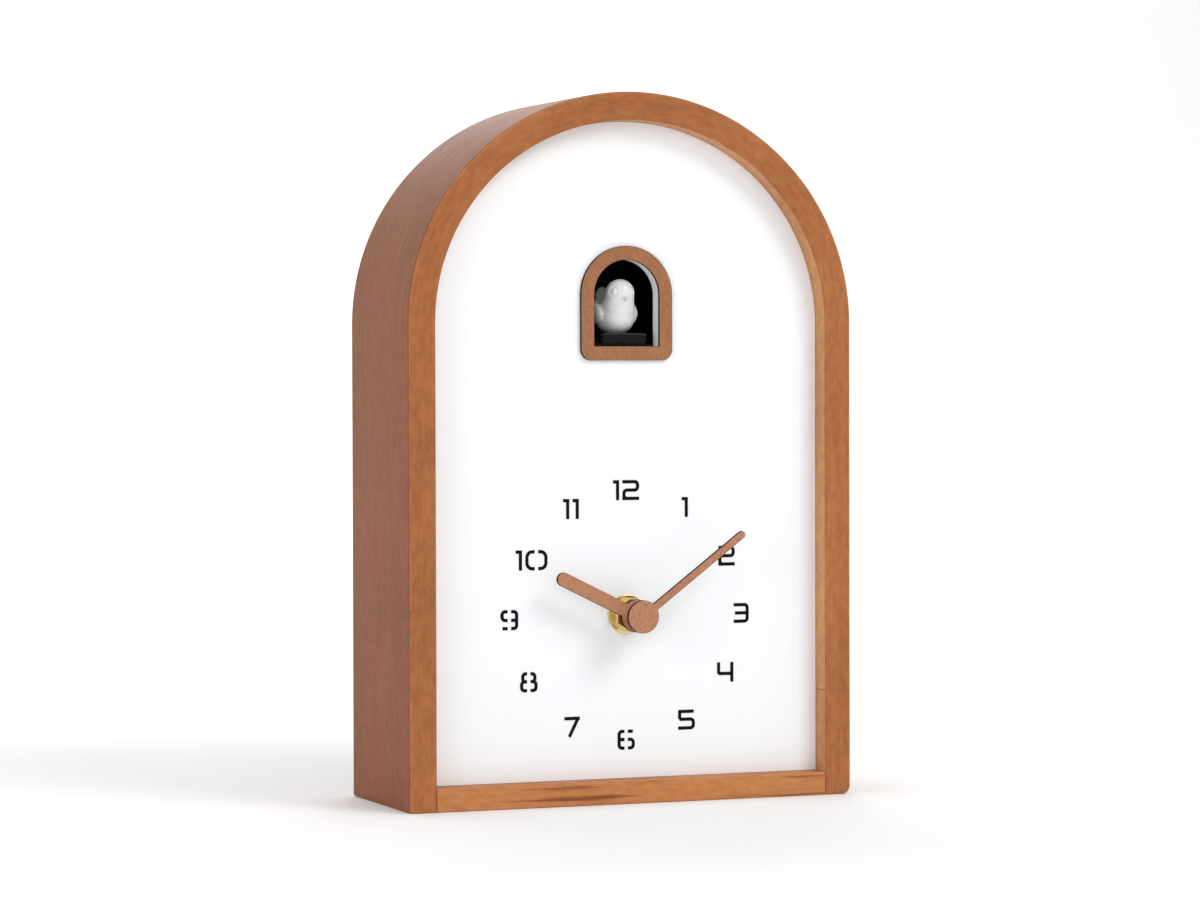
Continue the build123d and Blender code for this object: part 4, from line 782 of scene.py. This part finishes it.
def cut_away(mesh, *cutters):
    """Mesh less the cutting meshes."""
    objects = [bpy.data.objects.new("cut_away", item) for item in (mesh, *cutters)]
    for item in objects:
        bpy.context.scene.collection.objects.link(item)
    for cutter in objects[1:]:
        step = objects[0].modifiers.new("cut", "BOOLEAN")
        step.operation, step.solver, step.object = "DIFFERENCE", "EXACT", cutter
    settled = objects[0].evaluated_get(bpy.context.evaluated_depsgraph_get())
    result = bpy.data.meshes.new_from_object(settled)
    for item in objects:
        bpy.data.objects.remove(item)
    for item in (mesh, *cutters):
        bpy.data.meshes.remove(item)
    return result


def turned(bm, rows, centre, ridges=0, steps=72):
    """Closed turned shape; rows are (radius, depth, ridge height) from front to back."""
    rings = []
    for radius, y, ridge in rows:
        ring = []
        for k in range(steps):
            turn = math.tau * k / steps
            reach = max(radius - ridge * (0.5 - 0.5 * math.cos(ridges * turn)), 1e-6)
            x, z = centre[0] + reach * math.cos(turn), centre[1] + reach * math.sin(turn)
            ring.append(bm.verts.new((x, y, z)))
        rings.append(ring)
    join_rings(bm, rings)
    bm.faces.new(rings[0])
    bm.faces.new(rings[-1])


def bar(bm, left, right, bottom, top, front, back, corner=0.15 * MM, soft=0.1 * MM):
    """Small block with rounded edges."""
    slab_into(bm, rounded(left, right, bottom, top, corner, 3), [], front, back, soft, soft, 2)


def keyhole(radius, slot):
    """Outline of a round hole with a slot above it."""
    meet = math.degrees(math.acos(slot / radius))
    points = arc((0, KEYHOLE_Z), radius, 180 - meet, 360 + meet, 40)
    return points + arc((0, KEYHOLE_Z + KEYHOLE_RISE), slot, 0, 180, 16)


def grille_spots():
    """Middles of the sound holes: one, a ring of six and a ring of twelve."""
    spots = [SPEAKER_AT]
    for count, radius in SOUND_RINGS:
        spots += arc(SPEAKER_AT, radius, 0, 360 - 360 / count, count - 1)
    return spots


def make_cover(paint):
    """Back cover with its openings, and the posts behind it."""
    side, floor = INNER_HALF - COVER_PLAY, BOARD_TOP + COVER_PLAY
    outline = [(-side, floor), (side, floor)] + head_points(WALL + COVER_PLAY, 0, 180)
    holes = [circle(spot, SCREW_HOLE, 20) for spot in SCREW_SPOTS]
    holes += [circle(spot, SOUND_HOLE, 20) for spot in grille_spots()]
    holes += [keyhole(*COVER_KEYHOLE), circle(middle_of("setting_knob"), SETTING_HOLE, 72)]
    holes.append(circle(middle_of("volume_knob"), VOLUME_HOLE, 56))
    holes.append(circle(middle_of("test_button"), BUTTON_HOLE, 36))
    holes.append(circle(middle_of("light_sensor"), SENSOR_HOLE, 32))
    x, z = middle_of("control_bodies")[0], SWITCH_Z
    holes.append(rounded(x - 5 * MM, x + 5 * MM, z - 2 * MM, z + 2 * MM, 0.5 * MM))
    start, end, gap = low("battery_door"), high("battery_door"), DOOR_PLAY
    holes.append(rounded(start.x - gap, end.x + gap, start.z - gap, end.z + gap, 1.5 * MM))
    piece = slab("rear_cover", outline, holes, COVER_Y, high("back_cover").y, 0.35 * MM, paint["back_black"])
    settle(piece, "case", "back_black", "back_cover")
    posts = mesh_from(make_posts)
    settle(make_object("cover_posts", posts, [paint["back_black"]]), "case", "back_black")


def make_posts(bm):
    """Four posts between the cover and the control board."""
    x, z = middle_of("volume_knob")
    front = high("control_board").y
    rows = [(2.5 * MM, front, 0), (2.5 * MM, COVER_Y - 0.4 * MM, 0), (3.0 * MM, COVER_Y, 0)]
    for across, up in POST_SPOTS:
        turned(bm, rows, (x + across, z + up), steps=32)


def make_door(paint):
    """Battery door with a sunk finger grip and three ridges."""
    start, end = low("battery_door"), high("battery_door")
    outline = rounded(start.x, end.x, start.z, end.z, 1.2 * MM)
    body = mesh_from(slab_into, outline, [], start.y, end.y, 0.35 * MM, 0.35 * MM)
    grip = rounded(-9 * MM, 9 * MM, end.z - 7.5 * MM, end.z - 1.2 * MM, 2 * MM)
    deep = end.y - 0.9 * MM
    sunk = mesh_from(slab_into, grip, [], deep, end.y + CUT_PLAY, 0.4 * MM, 0.1 * MM)
    piece = make_object("battery_lid", cut_away(body, sunk), [paint["back_black"]], 40)
    settle(piece, "battery_door", "back_black", "battery_door")

    def ridges(bm):
        for k in range(3):
            z, reach, half = end.z - (2.9 + 1.5 * k) * MM, 6.5 * MM, 0.35 * MM
            bar(bm, -reach, reach, z - half, z + half, deep - 0.3 * MM, deep + 0.6 * MM, 0.3 * MM)

    settle(make_object("lid_grip", mesh_from(ridges), [paint["back_black"]]), "battery_door", "back_black")


def make_hanger(paint):
    """Steel keyhole plate with pressed rivets."""
    start, end = low("hanger_plate"), high("hanger_plate")
    face = start.y + 1.0 * MM
    outline = rounded(start.x, end.x, start.z, end.z, 3 * MM)
    plate = slab("hanger_steel", outline, [keyhole(*PLATE_KEYHOLE)], start.y, face, 0.22 * MM, paint["steel"])
    settle(plate, "case", "steel", "hanger_plate")
    reach, rise = 1.8 * MM, end.y - face
    rows = [(reach, face - 0.2 * MM, 0)]
    rows += [(reach * math.cos(t), face + rise * math.sin(t), 0) for t in (0.0, 0.4, 0.8, 1.2, 1.5)]

    def rivets(bm):
        for x in (-RIVET_X, RIVET_X):
            turned(bm, rows, (x, (start.z + end.z) / 2), steps=36)

    settle(make_object("hanger_rivets", mesh_from(rivets), [paint["nickel"]]), "case", "steel")


def make_screws(paint):
    """Domed screws with a cross recess, each turned a little differently."""
    back, top = high("back_cover").y, high("cover_screws").y
    head, shank, brim = 3.0 * MM, 1.4 * MM, 0.35 * MM
    rows = [(shank * 0.3, low("cover_screws").y, 0), (shank, low("cover_screws").y + 2 * MM, 0)]
    rows += [(shank, back, 0), (head - 0.15 * MM, back, 0)]
    rows += [(head, back + 0.15 * MM, 0), (head, back + brim, 0)]
    rise = top - back - brim
    for t in (0.2, 0.4, 0.6, 0.8, 1.0, 1.2, 1.4, 1.52):
        rows.append((head * math.cos(t), back + brim + rise * math.sin(t), 0))
    blank = mesh_from(turned, rows, (0, 0))
    arm, half, deep = 1.65 * MM, 0.36 * MM, top - 0.75 * MM
    flat = mesh_from(bar, -arm, arm, -half, half, deep, top + CUT_PLAY)
    upright = mesh_from(bar, -half, half, -arm, arm, deep, top + CUT_PLAY)
    screw = cut_away(blank, flat, upright)
    bm = bmesh.new()
    for k, (x, z) in enumerate(SCREW_SPOTS):
        one = screw.copy()
        driven = Matrix.Rotation(math.radians(17 + 41 * k), 4, "Y")
        one.transform(Matrix.Translation((x, 0, z)) @ driven)
        bm.from_mesh(one)
        bpy.data.meshes.remove(one)
    bpy.data.meshes.remove(screw)
    piece = make_object("cover_fixings", to_mesh(bm, "cover_fixings"), [paint["zinc_screw"]], 40)
    settle(piece, "case", "zinc_screw", "cover_screws")


def make_setting_knob(paint):
    """Knurled knob with a sunk middle."""
    centre, y0, y1 = middle_of("setting_knob"), low("setting_knob").y, high("setting_knob").y
    grip = high("setting_knob").x - centre[0]
    rows = [(grip - 0.5 * MM, y0, 0), (grip, y0 + 0.4 * MM, 0.45 * MM), (grip, y1 - 0.7 * MM, 0.45 * MM)]
    rows += [(grip - 0.15 * MM, y1 - 0.3 * MM, 0.3 * MM), (grip - 0.6 * MM, y1, 0), (grip - 1.7 * MM, y1, 0)]
    rows += [(grip - 2.0 * MM, y1 - 0.5 * MM, 0), (grip * 0.5, y1 - 0.65 * MM, 0), (0.0, y1 - 0.6 * MM, 0)]
    knob = make_object("time_knob", mesh_from(turned, rows, centre, 36, 288), [paint["knob_black"]])
    settle(knob, "setting", "knob_black", "setting_knob")


def make_volume_knob(paint):
    """Small knurled knob with a pointer groove."""
    centre, y0, y1 = middle_of("volume_knob"), low("volume_knob").y, high("volume_knob").y
    grip, shaft, under = high("volume_knob").x - centre[0], 1.5 * MM, y0 + 2.0 * MM
    rows = [(shaft, y0, 0), (shaft, under, 0)]
    rows += [(grip - 0.3 * MM, under, 0), (grip, under + 0.3 * MM, 0.3 * MM)]
    rows += [(grip, y1 - 0.6 * MM, 0.3 * MM), (grip - 0.5 * MM, y1, 0), (0.3 * MM, y1, 0)]
    body = mesh_from(turned, rows, centre, 24, 192)
    x, z = centre
    groove, deep = 0.45 * MM, y1 - 0.6 * MM
    mark = mesh_from(bar, x - groove, x + groove, z + 0.8 * MM, z + grip + CUT_PLAY, deep, y1 + CUT_PLAY)
    knob = make_object("loudness_knob", cut_away(body, mark), [paint["knob_black"]], 40)
    settle(knob, "volume", "knob_black", "volume_knob")


def make_call_button(paint):
    """Dished button with a brim that stays behind the cover."""
    centre, y0, y1 = middle_of("test_button"), low("test_button").y, high("test_button").y
    brim, shoulder = high("test_button").x - centre[0], COVER_Y - 0.4 * MM
    stem = 3.0 * MM
    rows = [(brim - 0.2 * MM, y0, 0), (brim, y0 + 0.2 * MM, 0), (brim, shoulder - 0.2 * MM, 0)]
    rows += [(brim - 0.2 * MM, shoulder, 0), (stem, shoulder, 0)]
    rows += [(stem, y1 - 0.5 * MM, 0), (stem * 0.93, y1 - 0.15 * MM, 0)]
    rows += [(stem * 0.8, y1, 0), (stem * 0.6, y1 - 0.1 * MM, 0), (0.2 * MM, y1 - 0.25 * MM, 0)]
    button = make_object("call_button", mesh_from(turned, rows, centre, 0, 64), [paint["knob_black"]])
    settle(button, "test_button", "knob_black", "test_button")


def make_mode_lever(paint):
    """Slide lever with three ribs on a wider foot."""
    x, z = middle_of("mode_switch")
    y0, y1 = low("mode_switch").y, high("mode_switch").y

    def lever(bm):
        bar(bm, x - 3.5 * MM, x + 3.5 * MM, z - 2.6 * MM, z + 2.6 * MM, y0, y0 + 1.2 * MM)
        bar(bm, x - 2 * MM, x + 2 * MM, z - 1.6 * MM, z + 1.6 * MM, y0 + 0.9 * MM, y1 - 0.35 * MM)
        for k in (-1, 0, 1):
            rib = x + 1.35 * k * MM
            bar(bm, rib - 0.35 * MM, rib + 0.35 * MM, z - 1.5 * MM, z + 1.5 * MM, y1 - 0.8 * MM, y1)

    piece = make_object("mode_lever", mesh_from(lever), [paint["knob_black"]])
    settle(piece, "mode_switch", "knob_black", "mode_switch")


def make_sensor(paint):
    """Clear dome with its flange."""
    centre, y0, y1 = middle_of("light_sensor"), low("light_sensor").y, high("light_sensor").y
    brim, reach, rise = high("light_sensor").x - centre[0], 2.5 * MM, 1.6 * MM
    rows = [(brim, y0, 0), (brim, COVER_Y - 0.2 * MM, 0)]
    rows += [(reach, COVER_Y - 0.1 * MM, 0), (reach, y1 - rise, 0)]
    for t in (0.3, 0.6, 0.9, 1.2, 1.45):
        rows.append((reach * math.cos(t), y1 - rise + rise * math.sin(t), 0))
    dome = make_object("sensor_dome", mesh_from(turned, rows, centre, 0, 48), [paint["sensor_lens"]], 60)
    settle(dome, "case", "sensor_lens", "light_sensor")


def paint_frame(paint):
    """Gives every CAD node its slot's material."""
    slots = {row["node"]: row["material_slot"] for row in frame["record"]["subparts"]}
    for name, piece in nodes.items():
        material = paint[slots[name]]
        if piece.material_slots:
            for holder in piece.material_slots:
                holder.material = material
        else:
            piece.data.materials.append(material)


# ---------------------------------------------------------------- stage
def make_stage():
    """Pale floor that curves up into a backdrop."""
    bm = bmesh.new()
    profile = [(STAGE_FRONT, 0.0), (STAGE_BEND, 0.0)]
    for k in range(1, 13):
        turn = math.pi / 2 * k / 12
        bend = (STAGE_RADIUS * math.sin(turn), STAGE_RADIUS * math.cos(turn))
        profile.append((STAGE_BEND + bend[0], STAGE_RADIUS - bend[1]))
    profile.append((STAGE_BEND + STAGE_RADIUS, STAGE_TOP))
    rows = [[bm.verts.new((x, y, z)) for x in (-STAGE_HALF, STAGE_HALF)] for y, z in profile]
    for first, second in zip(rows, rows[1:]):
        bm.faces.new((first[0], first[1], second[1], second[0]))
    mesh = to_mesh(bm, "studio_floor")
    floor = bpy.data.objects.new("studio_floor", mesh)
    floor.data.materials.append(plain("floor_white", (0.93, 0.93, 0.93), 0.9, 40, 0.0, spread=0.005))
    mesh.polygons.foreach_set("use_smooth", [True] * len(mesh.polygons))
    bpy.context.scene.collection.objects.link(floor)


make_camera()
make_light()
paint = make_materials()
paint_frame(paint)
make_case(paint)
make_board(paint)
make_dial(paint)
make_trim(paint)
make_hands(paint)
make_washer(paint)
make_nut(paint)
make_bush(paint)
make_bird(paint)
make_cover(paint)
make_door(paint)
make_hanger(paint)
make_screws(paint)
make_setting_knob(paint)
make_volume_knob(paint)
make_call_button(paint)
make_mode_lever(paint)
make_sensor(paint)
make_stage()
